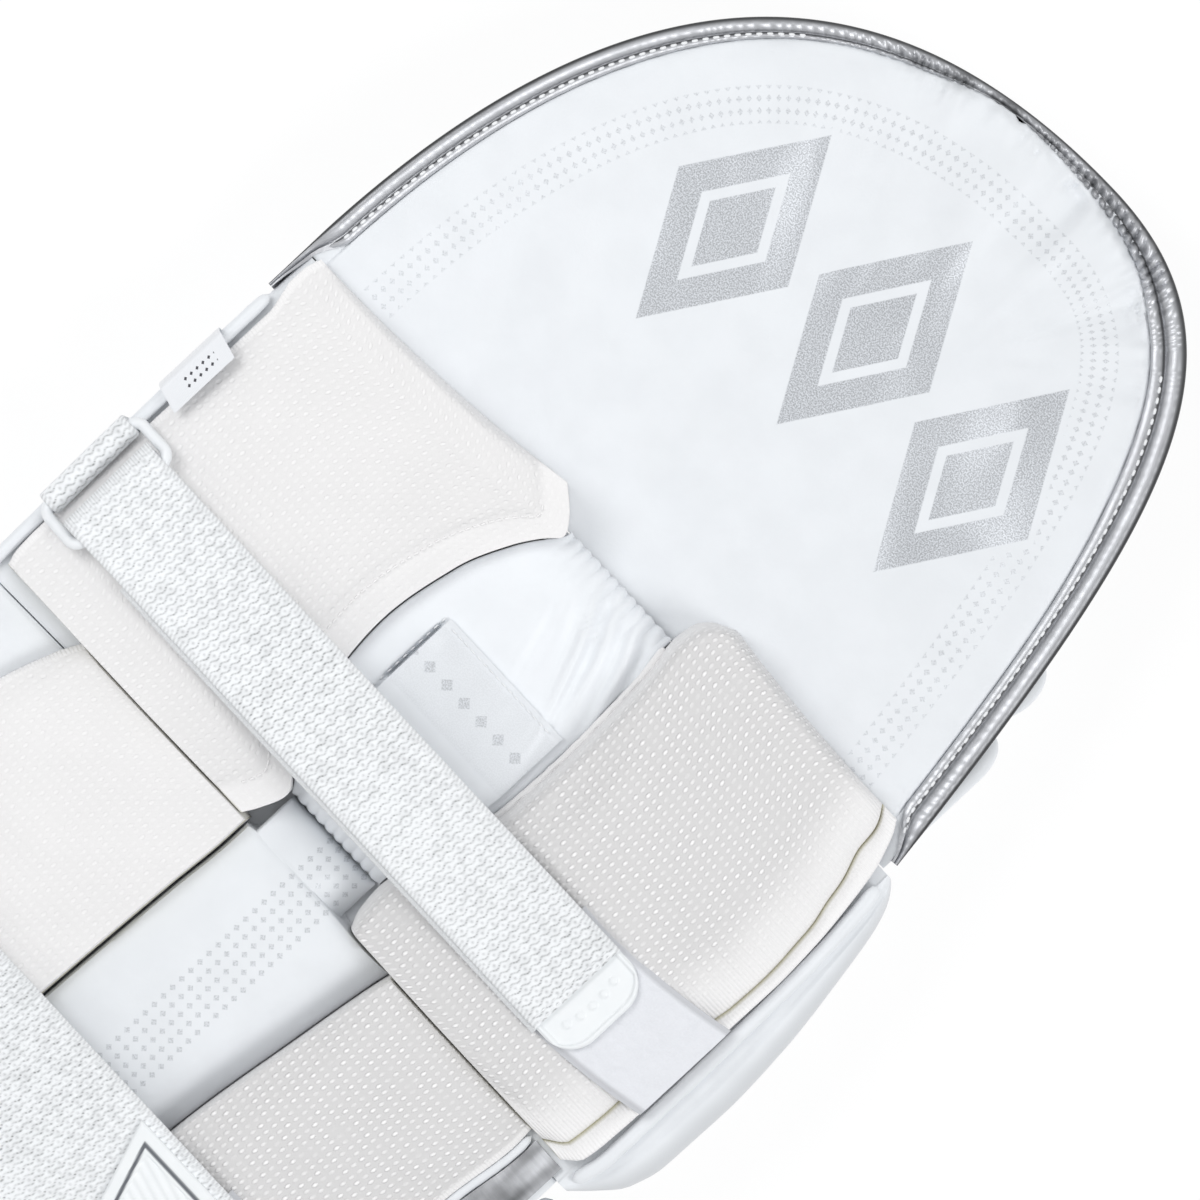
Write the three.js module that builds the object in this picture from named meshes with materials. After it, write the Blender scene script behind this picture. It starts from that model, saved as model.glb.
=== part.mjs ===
// A cricket batting pad for one leg, lying on its front face with the leg side up.
// Millimetres: +X runs across the pad to its winged side, +Y along the leg to the top of the flap,
// +Z up from the floor. Places across the pad are measured from the line of the leg.

import * as THREE from "three";

const { clamp, lerp, smoothstep } = THREE.MathUtils;

// Driving sizes
const GAP = 0.5; // clearance that sewn pieces keep to each other
const SEAM = 1.2; // clearance between a bolster's foot and the panel beside it
const LEG_LINE = -9.6; // the line of the leg, from the middle of the pad's width
const HALF_WIDTH = 135; // from the line of the leg to the edge at the knee
const PAD_FOOT = -345.3; // the lowest edge of the shell, inside its binding
const INSTEP_RISE = 40; // height of the arch over the instep
const INSTEP_HALF = 104; // half the width of that arch
const FOOT_CORNER = 10; // radius of the shell's lower corners
const KNEE_FOOT = 2; // the shin face ends and the knee face starts
const FLAP_FOOT = 146; // the knee face ends and the flap starts

// The trough that the leg lies in: its edges, the foam under the leg, how far its sides rise
// and how deep the shell is from the leg side to the front, from the ankle to the flap's top
const TROUGH = [
  { y: -350, left: -102, right: 104, core: 19, rise: 15, depth: 23 },
  { y: -200, left: -116, right: 120, core: 21, rise: 21, depth: 27 },
  { y: 0, left: -133, right: 135, core: 24, rise: 26, depth: 32 },
  { y: 146, left: -135, right: 135, core: 24, rise: 26, depth: 32 },
  { y: 350, left: -135, right: 135, core: 33, rise: 20, depth: 12 },
];
const SHOULDER = 12; // width over which the shell's edge is rounded
const SHOULDER_DROP = 6; // how far the rounded edge falls on the leg side
const BELLY_LIFT = 8; // and how far it lifts on the front
const RIB_PITCH = 34;
const RIB_DEPTH = 4.5;

// The wing on the right of the knee face: how far it stands out past the seam
const WING = [
  { y: 2, reach: 5 },
  { y: 9, reach: 12 },
  { y: 17, reach: 18 },
  { y: 30, reach: 21 },
  { y: 57, reach: 21.5 },
  { y: 85, reach: 19.5 },
  { y: 113, reach: 15 },
  { y: 130, reach: 11.5 },
  { y: 140, reach: 8 },
  { y: 146, reach: 5 },
];
const WING_EQUATOR = 28; // height of the wing's outermost line
const WING_EDGE = 1.2; // thickness left on that line
const SEAM_FALL = 2; // how far the shell dips at the wing's seam

// The flap: the outer line of its binding is two curves that meet at the apex
const FLAP_LEFT = [-137.4, 150];
const FLAP_APEX = [25, 350];
const FLAP_RIGHT = [135.4, 150];
const FLAP_LEFT_PULL = [
  [-137.4, 268],
  [-94, 350],
];
const FLAP_RIGHT_PULL = [
  [98, 350],
  [115, 285],
];
const FLAP_THICKNESS = 12;
const FLAP_RIM = 5.8; // thickness where the binding grips it
const FLAP_ROLL = 18; // width over which the flap thins to its rim
const FLAP_STEPS = 30; // stretches around the arch
const BEAD_RADIUS = 4.2; // round edge of the binding
const TAPE_REACH = 12.6; // from the outer line to the inner edge of the sewn tape
const TAPE_THICKNESS = 1.1;
const TAPE_LIFT = 1.2; // clearance under the tape

// Rolls on the flap's front, from foot to head and side to side
const KNEE_ROLLS = [
  { name: "knee_roll_lower", foot: 151, head: 202, left: -129, right: 134.5 },
  { name: "knee_roll_upper", foot: 204.5, head: 229.5, left: -123, right: 128 },
];
const ROLL_THICKNESS = 14;
const ROLL_EDGE = 9; // width over which a roll's edge is rounded

// Bolsters: inner and outer edges from foot to head, and the welt past the right knee bolster
const KNEE_LEFT = [
  { y: 8.5, inner: -20, outer: -128 },
  { y: 14, inner: -17, outer: -129.5 },
  { y: 23, inner: -14, outer: -130 },
  { y: 34, inner: -23, outer: -130 },
  { y: 50, inner: -30, outer: -130 },
  { y: 84, inner: -34.5, outer: -130 },
  { y: 112, inner: -30.5, outer: -130 },
  { y: 130, inner: -23.5, outer: -130 },
  { y: 139, inner: -18, outer: -130 },
  { y: 144, inner: -14, outer: -129.5 },
  { y: 150, inner: -18, outer: -128.5 },
  { y: 156.5, inner: -26, outer: -127 },
];
const KNEE_RIGHT = [
  { y: 8, inner: 31, outer: 121, welt: 130 },
  { y: 14, inner: 28.5, outer: 127.5, welt: 135 },
  { y: 24, inner: 27.5, outer: 128.5, welt: 136 },
  { y: 52, inner: 34, outer: 130, welt: 136.6 },
  { y: 72, inner: 37.5, outer: 131, welt: 136.2 },
  { y: 95, inner: 38, outer: 131.8, welt: 136.4 },
  { y: 115, inner: 37.2, outer: 130.3, welt: 135.4 },
  { y: 132, inner: 36, outer: 127.5, welt: 133.5 },
  { y: 147, inner: 34, outer: 123.5, welt: 131 },
  { y: 157, inner: 33.5, outer: 121, welt: 128 },
  { y: 164, inner: 38, outer: 118, welt: 124 },
];
const SHIN_LEFT = [
  { y: -322, inner: -29, outer: -84 },
  { y: -312, inner: -26, outer: -90 },
  { y: -200, inner: -24.5, outer: -101 },
  { y: -80, inner: -21, outer: -109.5 },
  { y: -25, inner: -18.5, outer: -105 },
  { y: 0, inner: -17, outer: -98 },
  { y: 7.4, inner: -17, outer: -94 },
];
const SHIN_RIGHT = [
  { y: -322, inner: 35, outer: 86 },
  { y: -312, inner: 32, outer: 92 },
  { y: -200, inner: 35, outer: 103 },
  { y: -80, inner: 39.5, outer: 112 },
  { y: -25, inner: 46, outer: 115 },
  { y: 0, inner: 49.5, outer: 117.5 },
  { y: 7.4, inner: 51, outer: 117 },
];
// Crown heights at foot and head, the line of the crown, and its fall to the sides and ends
const BOLSTERS = [
  {
    name: "knee_bolster_left",
    rows: KNEE_LEFT,
    footTop: 62,
    headTop: 62,
    middle: -78,
    fall: 5,
    bow: 3,
    headDrop: 9,
  },
  {
    name: "knee_bolster_right",
    rows: KNEE_RIGHT,
    footTop: 60.5,
    headTop: 60.5,
    middle: 82,
    fall: 5,
    bow: 3,
    headDrop: 4,
  },
  {
    name: "shin_bolster_left",
    rows: SHIN_LEFT,
    footTop: 44,
    headTop: 54,
    middle: -64,
    fall: 4,
    bow: 1,
    headDrop: 0,
  },
  {
    name: "shin_bolster_right",
    rows: SHIN_RIGHT,
    footTop: 43,
    headTop: 53,
    middle: 78,
    fall: 4,
    bow: 1,
    headDrop: 0,
  },
];
const BOLSTER_ROLL = 13; // width over which a bolster's edge is rounded
const BOLSTER_RIM = 3; // thickness at its seam
const CROWN_HALF = 54; // half width over which the crown falls by its whole fall
const WELT_HEIGHT = 6;
const CREASE_WIDTH = 1.4;
const CREASE_HEIGHT = 1;

// Knee cup and its patch, shin panel and side lining
const CUP_FOOT = 24;
const CUP_HEAD = 145;
const CUP_RIM = 4;
const CUP_SWELL = 10;
const CUP_ROLL = 18;
const CUP_SIDE = 0.4; // share of the swell that is left at the cup's sides
const PLEATS = 6;
const PLEAT_DEPTH = 1.5;
const PLEAT_RUN = 34; // how far a pleat runs from the gathered edge
const PATCH_THICKNESS = 1.2;
const PATCH_LIFT = 0.9;
const PATCH_MARGIN = 4; // least distance from the cup's sides
const PATCH = { left: -19.5, right: 33, foot: 44, head: 99.5 };
const SHIN_PANEL = {
  foot: -318,
  head: 23,
  rim: 2.5,
  swell: 6.5,
  roll: 20,
  rightShare: 0.8, // its right side rises more slowly than its left
  neckFoot: -4,
  neckHead: 7,
};
const LINING_THICKNESS = 1.2;
const LINING = { foot: -330, head: 6, inset: 2.4 };

// Pipings along the edges
const PIPING_RADIUS = 2.2;
const PIPING_INSET = 0.8;
const PIPING_LIFT = 2.3; // height of its middle over the shell's edge
const PIPING_HEAD = 128;
const PIPING_FOOT = -338;
const BAND = [
  { y: 6, x: 138 },
  { y: 20, x: 140.2 },
  { y: 60, x: 140 },
  { y: 100, x: 139.2 },
  { y: 130, x: 137.2 },
  { y: 147, x: 134.8 },
];
const BAND_RADIUS = 2;
const SHIN_BEAD = 3.6;
const SHIN_SEAT = 4.35; // from the shell's edge to the middle of the bead
const SHIN_TURN = { head: -4, cornerRise: 12, cornerShare: 0.4, from: 0.84, to: -0.97, spare: 0.3 };

// Straps: edges along the leg, end of the webbing and reach of the loop patch
const STRAPS = [
  { name: "knee", low: 31.2, high: 68, webEnd: 94, patchFrom: 76, patchTo: 136.4, swing: 0.0021 },
  { name: "calf", low: -141, high: -76, webEnd: 84, patchFrom: 66, patchTo: 122, swing: 0 },
  { name: "ankle", low: -290, high: -252, webEnd: 66, patchFrom: 48, patchTo: 106, swing: 0 },
];
const SWING_START = 4; // the loop patch starts to swing this far past its inner end
const WEB_THICKNESS = 2.6;
const WEB_LAYER = 1.3; // one layer where it goes round the ring
const WEB_SLACK = 9; // length of the loop round the ring, past the bar
const ROD_RADIUS = 1.9; // of the plastic ring
const ROD_CLEAR = 0.6;
const RING_CORNER = 2.4;
const RING_INNER = 17.8; // the strap's bar, inwards from the pad's edge
const RING_OUTER = 1; // the tab's bar
const ROOT_RUN = 50; // a strap loses the slant of the pad's edge over this length
const TAB_THICKNESS = 1.6;
const TAB_LENGTH = 19;
const LOOP_THICKNESS = 1.6;
const LOOP_SPARE = 1.2; // the loop patch is this much wider than the strap, on each side
const TIP_LENGTH = 15;
const TIP_CORNER = 11;
const TIP_THICKNESS = 2.6;
const TIP_SPARE = 0.3; // the tip is this much narrower than the strap, on each side
const BADGE = { left: 30, width: 60, foot: -134, head: -80, taper: 0.36, thickness: 2 };
const LABEL = { foot: 82.5, head: 108.5, skew: 0.25, thickness: 1, reach: 9 };
// The tag's line: out from the pad's edge, and up from the seam or from the bolster's crown
const LABEL_RISE = [
  { out: -1.8, up: -2 },
  { out: -2.4, up: 6 },
];
const LABEL_LIE = [
  { out: -0.6, up: 2.9 },
  { out: 3, up: 3.5 },
  { out: 8.6, up: 2.5 },
];

// Finishes
function finish(color, roughness, metalness = 0) {
  return () => new THREE.MeshStandardMaterial({ color, roughness, metalness });
}
const whiteLeather = finish(0xf1f3f6, 0.5);
const creamMesh = finish(0xf3f0ea, 0.9);
const silverLeather = finish(0xb4b8bd, 0.32, 0.6);
const whiteWebbing = finish(0xf6f8fb, 0.8);
const whitePlastic = finish(0xf4f5f6, 0.35);
const clearRubber = finish(0xe9edf0, 0.4);
const loopPile = finish(0xe6e9f0, 0.95);
const whiteSatin = finish(0xf8f8fa, 0.45);

// Solids from points
function solid(points, faces) {
  const across = new THREE.Vector3();
  let volume = 0;
  for (const [a, b, c] of faces) {
    volume += points[a].dot(across.crossVectors(points[b], points[c]));
  }
  const outward = volume > 0 ? faces : faces.map(([a, b, c]) => [a, c, b]);
  const geometry = new THREE.BufferGeometry().setFromPoints(points);
  geometry.setIndex(outward.flat());
  geometry.computeVertexNormals();
  return geometry;
}

function pushQuad(faces, a, b, c, d) {
  faces.push([a, b, c], [a, c, d]);
}

// A padded panel: an upper and a lower skin over a grid of steps, and a wall round its rim.
function slab(rows, columns, at) {
  const wide = columns.length;
  const spots = rows.flatMap((row) => columns.map((column) => at(row, column)));
  const skin = spots.length;
  const points = [
    ...spots.map((spot) => new THREE.Vector3(spot.x, spot.y, spot.high)),
    ...spots.map((spot) => new THREE.Vector3(spot.x, spot.y, spot.low)),
  ];
  const faces = [];
  for (let row = 0; row < rows.length - 1; row += 1) {
    for (let column = 0; column < wide - 1; column += 1) {
      const a = row * wide + column;
      pushQuad(faces, a, a + 1, a + wide + 1, a + wide);
      pushQuad(faces, skin + a, skin + a + wide, skin + a + wide + 1, skin + a + 1);
    }
  }
  const side = wide - 1;
  const top = rows.length - 1;
  const rim = [
    ...columns.slice(1).map((_, i) => i),
    ...rows.slice(1).map((_, i) => i * wide + side),
    ...columns.slice(1).map((_, i) => top * wide + side - i),
    ...rows.slice(1).map((_, i) => (top - i) * wide),
  ];
  rim.forEach((p, place) => {
    const q = rim[(place + 1) % rim.length];
    pushQuad(faces, skin + p, skin + q, q, p);
  });
  return solid(points, faces);
}

// A solid drawn through rings of one section, capped at both ends or joined end to end.
function loft(rings, section, loop = false) {
  const sides = section.length;
  const faces = [];
  const stretches = loop ? rings.length : rings.length - 1;
  for (let ring = 0; ring < stretches; ring += 1) {
    const near = ring * sides;
    const far = ((ring + 1) % rings.length) * sides;
    for (let side = 0; side < sides; side += 1) {
      const next = (side + 1) % sides;
      pushQuad(faces, near + side, near + next, far + next, far + side);
    }
  }
  if (!loop) {
    const last = (rings.length - 1) * sides;
    for (const [a, b, c] of THREE.ShapeUtils.triangulateShape(section, [])) {
      faces.push([a, c, b], [last + a, last + b, last + c]);
    }
  }
  return solid(rings.flat(), faces);
}

// A round cord of eight sides along a curve.
function cord(path, radius, stretches) {
  const round = new THREE.Shape().absarc(0, 0, radius, 0, 2 * Math.PI);
  return new THREE.ExtrudeGeometry(round, {
    steps: stretches,
    curveSegments: 4,
    extrudePath: path,
    bevelEnabled: false,
  });
}

// A side view in X and Z, drawn out along Y between two edges.
function drawnAlongLeg(shape, foot, head) {
  const geometry = new THREE.ExtrudeGeometry(shape, {
    depth: head - foot,
    curveSegments: 6,
    bevelEnabled: false,
  });
  return geometry.rotateX(Math.PI / 2).translate(0, head, 0);
}

// Shares of a rolled edge's width at which a coarse grid has a line
const FEW = [0, 0.3, 1];

// Steps from one value to another.
function steps(from, to, count) {
  return Array.from({ length: count + 1 }, (_, i) => lerp(from, to, i / count));
}

// Steps that crowd at both ends, where an edge is rolled.
function rolledSteps(from, to, reach, count, shares = [0, 0.15, 0.45, 1]) {
  const ladder = shares.map((share) => share * reach);
  const middle = steps(from + reach, to - reach, count).slice(1, -1);
  return [...ladder.map((d) => from + d), ...middle, ...ladder.reverse().map((d) => to - d)];
}

// The row of a table at a place along the leg, worked out between its neighbours.
function rowAt(table, y) {
  let place = 0;
  while (place < table.length - 2 && table[place + 1].y < y) {
    place += 1;
  }
  const from = table[place];
  const to = table[place + 1];
  const share = clamp((y - from.y) / (to.y - from.y), 0, 1);
  return Object.fromEntries(Object.keys(from).map((key) => [key, lerp(from[key], to[key], share)]));
}

// Share of the full height at a distance from a rolled edge.
function roll(distance, reach) {
  const out = 1 - clamp(distance / reach, 0, 1);
  return (1 - out ** 2.4) ** (1 / 2.4);
}

// The shell's surfaces
function innerAt(x, y) {
  const { core, rise } = rowAt(TROUGH, y);
  return core + rise * (x / HALF_WIDTH) ** 2;
}

function frontAt(x, y) {
  return Math.max(0, innerAt(x, y) - rowAt(TROUGH, y).depth);
}

function edgeDistance(x, y) {
  const { left, right } = rowAt(TROUGH, y);
  return Math.max(0, Math.min(x - left, right - x));
}

function shellTopAt(x, y) {
  return innerAt(x, y) - SHOULDER_DROP * (1 - roll(edgeDistance(x, y), SHOULDER));
}

function instepAt(x) {
  const share = clamp(Math.abs(x) / INSTEP_HALF, 0, 1);
  return PAD_FOOT + INSTEP_RISE * (1 - share ** 2);
}

// Pieces of the shell
function kneeFace() {
  const across = [...rolledSteps(0, 1, 0.05, 8), 1.25, 1.5, 1.75, 1.93, 2];
  const rows = WING.map((row) => row.y);
  return slab(rows, across, (row, column) => {
    const y = clamp(row, KNEE_FOOT + GAP / 2, FLAP_FOOT - GAP / 2);
    const { left, right } = rowAt(TROUGH, y);
    const seamTop = innerAt(right, y) - SEAM_FALL;
    const front = frontAt(right, y);
    if (column > 1) {
      const out = column - 1;
      const round = Math.sqrt(1 - out ** 2);
      return {
        x: right + rowAt(WING, row).reach * out,
        y,
        low: WING_EQUATOR - WING_EDGE / 2 - (WING_EQUATOR - front) * round,
        high: WING_EQUATOR + WING_EDGE / 2 + (seamTop - WING_EQUATOR) * round,
      };
    }
    const x = lerp(left, right, column);
    const leftRoll = roll(x - left, SHOULDER);
    const seamFall = SEAM_FALL * smoothstep(x, right - SHOULDER, right);
    return {
      x,
      y,
      low: frontAt(x, y) + BELLY_LIFT * (1 - leftRoll),
      high: innerAt(x, y) - SHOULDER_DROP * (1 - leftRoll) - seamFall,
    };
  });
}

function shinFace() {
  const ribSteps = Math.round((2 * HALF_WIDTH) / (RIB_PITCH / 4));
  const rows = [0, 0.012, 0.035, ...steps(0.1, 1, 4)];
  const columns = rolledSteps(0, 1, 0.04, ribSteps);
  return slab(rows, columns, (row, column) => {
    const level = lerp(PAD_FOOT, KNEE_FOOT - GAP / 2, row);
    const tuck = FOOT_CORNER * (1 - roll(level - PAD_FOOT, FOOT_CORNER));
    const left = rowAt(TROUGH, level).left + tuck;
    const right = rowAt(TROUGH, level).right - tuck;
    const x = lerp(left, right, column);
    const foot = instepAt(x);
    const y = lerp(foot, KNEE_FOOT - GAP / 2, row);
    const edge = roll(Math.min(x - left, right - x, y - foot), SHOULDER);
    const groove = 1 - Math.sqrt(Math.abs(Math.cos((Math.PI * x) / RIB_PITCH)));
    return {
      x,
      y,
      low: frontAt(x, y) + Math.max(RIB_DEPTH * groove, BELLY_LIFT * (1 - edge)),
      high: innerAt(x, y) - SHOULDER_DROP * (1 - edge),
    };
  });
}

// The flap's outer line, with the outward direction at a share of its length.
function flapLine() {
  const at = ([x, y]) => new THREE.Vector2(x, y);
  const line = new THREE.CurvePath();
  const leftPull = FLAP_LEFT_PULL.map(at);
  const rightPull = FLAP_RIGHT_PULL.map(at);
  line.add(new THREE.CubicBezierCurve(at(FLAP_LEFT), ...leftPull, at(FLAP_APEX)));
  line.add(new THREE.CubicBezierCurve(at(FLAP_APEX), ...rightPull, at(FLAP_RIGHT)));
  return line;
}

function flapEdge(line, share, inset) {
  const place = line.getPointAt(share);
  const tangent = line.getTangentAt(share);
  const out = new THREE.Vector2(-tangent.y, tangent.x);
  return { place: place.clone().addScaledVector(out, -inset), out };
}

function flap(line) {
  const gripped = TAPE_REACH - 2 * BEAD_RADIUS;
  const inwards = [
    { distance: 0, share: 0 },
    { distance: gripped, share: 0.12 },
    { distance: gripped + FLAP_ROLL / 5, share: 0.24 },
    { distance: gripped + FLAP_ROLL / 2, share: 0.36 },
    { distance: gripped + FLAP_ROLL, share: 0.5 },
    { distance: Infinity, share: 0.7 },
    { distance: Infinity, share: 1 },
  ];
  const inset = 2 * BEAD_RADIUS + GAP;
  const start = flapEdge(line, 0, inset).place;
  const end = flapEdge(line, 1, inset).place;
  const outline = line.getSpacedPoints(12 * FLAP_STEPS);
  return slab(inwards, steps(0, 1, FLAP_STEPS), (inward, around) => {
    const rim = flapEdge(line, around, inset).place;
    const foot = new THREE.Vector2(lerp(start.x, end.x, around), FLAP_FOOT + GAP / 2);
    const reach = rim.distanceTo(foot);
    const spot = rim.clone().lerp(foot, Math.min(inward.distance / reach, inward.share));
    const fromRim = Math.min(...outline.map((point) => point.distanceTo(spot))) - inset;
    const middle = innerAt(spot.x, spot.y) - FLAP_THICKNESS / 2;
    const half = lerp(FLAP_RIM, FLAP_THICKNESS, roll(fromRim - gripped, FLAP_ROLL)) / 2;
    return { x: spot.x, y: spot.y, low: middle - half, high: middle + half };
  });
}

function flapBinding(line) {
  const bead = [180, 232, 284, 336, 28, 80, 112].map((degrees) => {
    const angle = THREE.MathUtils.degToRad(degrees);
    return new THREE.Vector2(Math.cos(angle) - 1, Math.sin(angle)).multiplyScalar(BEAD_RADIUS);
  });
  const under = FLAP_RIM / 2 + TAPE_LIFT;
  const section = [
    ...bead,
    new THREE.Vector2(-2 * BEAD_RADIUS, under + TAPE_THICKNESS),
    new THREE.Vector2(-TAPE_REACH, under + TAPE_THICKNESS),
    new THREE.Vector2(-TAPE_REACH, under),
    new THREE.Vector2(-1.8 * BEAD_RADIUS, under - GAP / 2),
  ];
  const rings = steps(0, 1, FLAP_STEPS).map((share) => {
    const { place, out } = flapEdge(line, share, 0);
    return section.map((p) => {
      const x = place.x + out.x * p.x;
      const y = place.y + out.y * p.x;
      return new THREE.Vector3(x, y, innerAt(x, y) - FLAP_THICKNESS / 2 + p.y);
    });
  });
  return loft(rings, section);
}

function kneeRoll({ foot, head, left, right }) {
  const rows = rolledSteps(foot, head, ROLL_EDGE, 2, FEW);
  const columns = rolledSteps(left, right, ROLL_EDGE, 8, FEW);
  return slab(rows, columns, (y, x) => {
    const sides = roll(Math.min(x - left, right - x), ROLL_EDGE);
    const edge = sides * roll(Math.min(y - foot, head - y), ROLL_EDGE);
    const back = innerAt(x, y) - FLAP_THICKNESS - GAP;
    const waist = back - ROLL_THICKNESS / 2;
    const low = lerp(waist, back - ROLL_THICKNESS, edge);
    return {
      x,
      y,
      low: Math.max(0, low),
      high: Math.max(low + 1, lerp(waist + 1, back, edge)),
    };
  });
}

// Bolsters on the leg side
function crownAt(bolster, x, y) {
  const { rows, footTop, headTop, middle, fall, bow } = bolster;
  const foot = rows[0].y;
  const head = rows.at(-1).y;
  const along = (y - foot) / (head - foot);
  const aside = (x - middle) / CROWN_HALF;
  return lerp(footTop, headTop, along) - fall * aside ** 2 - bow * (2 * along - 1) ** 2;
}

function bolsterPad(bolster) {
  const { rows: table, headDrop } = bolster;
  const foot = table[0].y;
  const head = table.at(-1).y;
  const hasWelt = "welt" in table[0];
  const rows = rolledSteps(foot, head, BOLSTER_ROLL, head > CUP_HEAD ? 9 : 6);
  const columns = rolledSteps(0, 1, 0.13, 4);
  if (hasWelt) {
    columns.push(1.2, 1.5, 1.8, 2);
  }
  return slab(rows, columns, (row, column) => {
    const { inner, outer, welt } = rowAt(table, row);
    const slant = headDrop * (1 - (1 - Math.min(column, 1)) ** 2);
    const y = row - slant * smoothstep(row, (foot + head) / 2, head);
    const ends = roll(Math.min(row - foot, head - row), BOLSTER_ROLL);
    if (column > 1) {
      const out = column - 1;
      const x = lerp(outer + CREASE_WIDTH * Math.sign(outer), welt, out);
      const low = innerAt(x, y) + GAP;
      const bump = Math.sqrt(Math.max(0, 1 - (2 * out - 1) ** 2));
      return { x, y, low, high: low + CREASE_HEIGHT + (WELT_HEIGHT - CREASE_HEIGHT) * bump * ends };
    }
    const x = lerp(inner, outer, column);
    const sides = roll(Math.min(Math.abs(x - inner), Math.abs(x - outer)), BOLSTER_ROLL);
    const low = innerAt(x, y) + GAP;
    const rim = hasWelt && column === 1 ? CREASE_HEIGHT : BOLSTER_RIM;
    return { x, y, low, high: low + rim + (crownAt(bolster, x, row) - low - rim) * sides * ends };
  });
}

// Knee cup, patch, shin panel and side lining
function cupEdges(y) {
  return { left: rowAt(KNEE_LEFT, y).inner + SEAM, right: rowAt(KNEE_RIGHT, y).inner - SEAM };
}

function cupTopAt(x, y) {
  const { left, right } = cupEdges(y);
  const fromHead = CUP_HEAD - y;
  const fromFoot = y - CUP_FOOT;
  const sides = lerp(CUP_SIDE, 1, roll(Math.min(x - left, right - x), CUP_ROLL));
  const ends = roll(Math.min(fromHead, fromFoot), CUP_ROLL);
  const fold = Math.cos((2 * Math.PI * PLEATS * (x - left)) / (right - left));
  const run = 1 - smoothstep(Math.min(fromHead, fromFoot), 0, PLEAT_RUN);
  return innerAt(x, y) + GAP + CUP_RIM + CUP_SWELL * sides * ends + PLEAT_DEPTH * fold * run;
}

function kneeCup() {
  const rows = rolledSteps(CUP_FOOT, CUP_HEAD, CUP_ROLL, 3);
  return slab(rows, steps(0, 1, 4 * PLEATS), (row, column) => {
    const { left, right } = cupEdges(row);
    const x = lerp(left, right, column);
    return { x, y: row, low: innerAt(x, row) + GAP, high: cupTopAt(x, row) };
  });
}

function kneePatch() {
  const rows = steps(PATCH.foot, PATCH.head, 4);
  return slab(rows, steps(0, 1, 8), (y, column) => {
    const { left, right } = cupEdges(y);
    const from = Math.max(PATCH.left, left + PATCH_MARGIN);
    const x = lerp(from, Math.min(PATCH.right, right - PATCH_MARGIN), column);
    const low = cupTopAt(x, y) + PATCH_LIFT;
    return { x, y, low, high: low + PATCH_THICKNESS };
  });
}

// The shin panel's sides follow the shin bolsters, and narrow under the knee cup.
function panelEdges(y) {
  const left = rowAt(SHIN_LEFT, y).inner + SEAM;
  const right = rowAt(SHIN_RIGHT, y).inner - SEAM;
  const under = smoothstep(y, SHIN_PANEL.neckFoot, SHIN_PANEL.neckHead);
  return {
    left: lerp(left, KNEE_LEFT[2].inner + SEAM, under),
    right: lerp(right, KNEE_RIGHT[2].inner - SEAM, under),
  };
}

function panelTopAt(x, y) {
  const { left, right } = panelEdges(y);
  const { foot, head, rim, swell, rightShare } = SHIN_PANEL;
  const edge = Math.min(x - left, rightShare * (right - x), head - y, y - foot);
  return innerAt(x, y) + GAP + rim + swell * roll(edge, SHIN_PANEL.roll);
}

function shinPanel() {
  const { foot, head, neckFoot, neckHead } = SHIN_PANEL;
  const rows = [...rolledSteps(foot, head, SHIN_PANEL.roll, 6, FEW), neckFoot, neckHead];
  rows.sort((a, b) => a - b);
  return slab(rows, rolledSteps(0, 1, 0.3, 2, FEW), (y, column) => {
    const { left, right } = panelEdges(y);
    const x = lerp(left, right, column);
    return { x, y, low: innerAt(x, y) + GAP, high: panelTopAt(x, y) };
  });
}

function sideLining() {
  const rows = steps(LINING.foot, LINING.head, 8);
  return slab(rows, steps(0, 1, 3), (y, column) => {
    const from = rowAt(SHIN_RIGHT, y).outer + LINING.inset;
    const x = lerp(from, rowAt(TROUGH, y).right - LINING.inset, column);
    const low = shellTopAt(x, y) + GAP;
    return { x, y, low, high: low + LINING_THICKNESS };
  });
}

// Pipings
function pipingHeight(x, y) {
  return shellTopAt(x + PIPING_RADIUS, y) + PIPING_LIFT;
}

function edgePipingLeft() {
  const spots = steps(PIPING_FOOT, PIPING_HEAD, 10).map((y) => {
    const x = rowAt(TROUGH, y).left + PIPING_INSET;
    return new THREE.Vector3(x, y, pipingHeight(x, y));
  });
  return cord(new THREE.CatmullRomCurve3(spots), PIPING_RADIUS, 14);
}

function edgeBandRight() {
  const spots = BAND.map(({ x, y }) => {
    const { right } = rowAt(TROUGH, y);
    const out = clamp((x - right) / rowAt(WING, y).reach, 0, 1);
    const seamTop = innerAt(right, y) - SEAM_FALL - WING_EQUATOR;
    const top = WING_EQUATOR + WING_EDGE / 2 + seamTop * Math.sqrt(1 - out ** 2);
    return new THREE.Vector3(x, y, top + GAP + BAND_RADIUS);
  });
  return cord(new THREE.CatmullRomCurve3(spots), BAND_RADIUS, 10);
}

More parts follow.
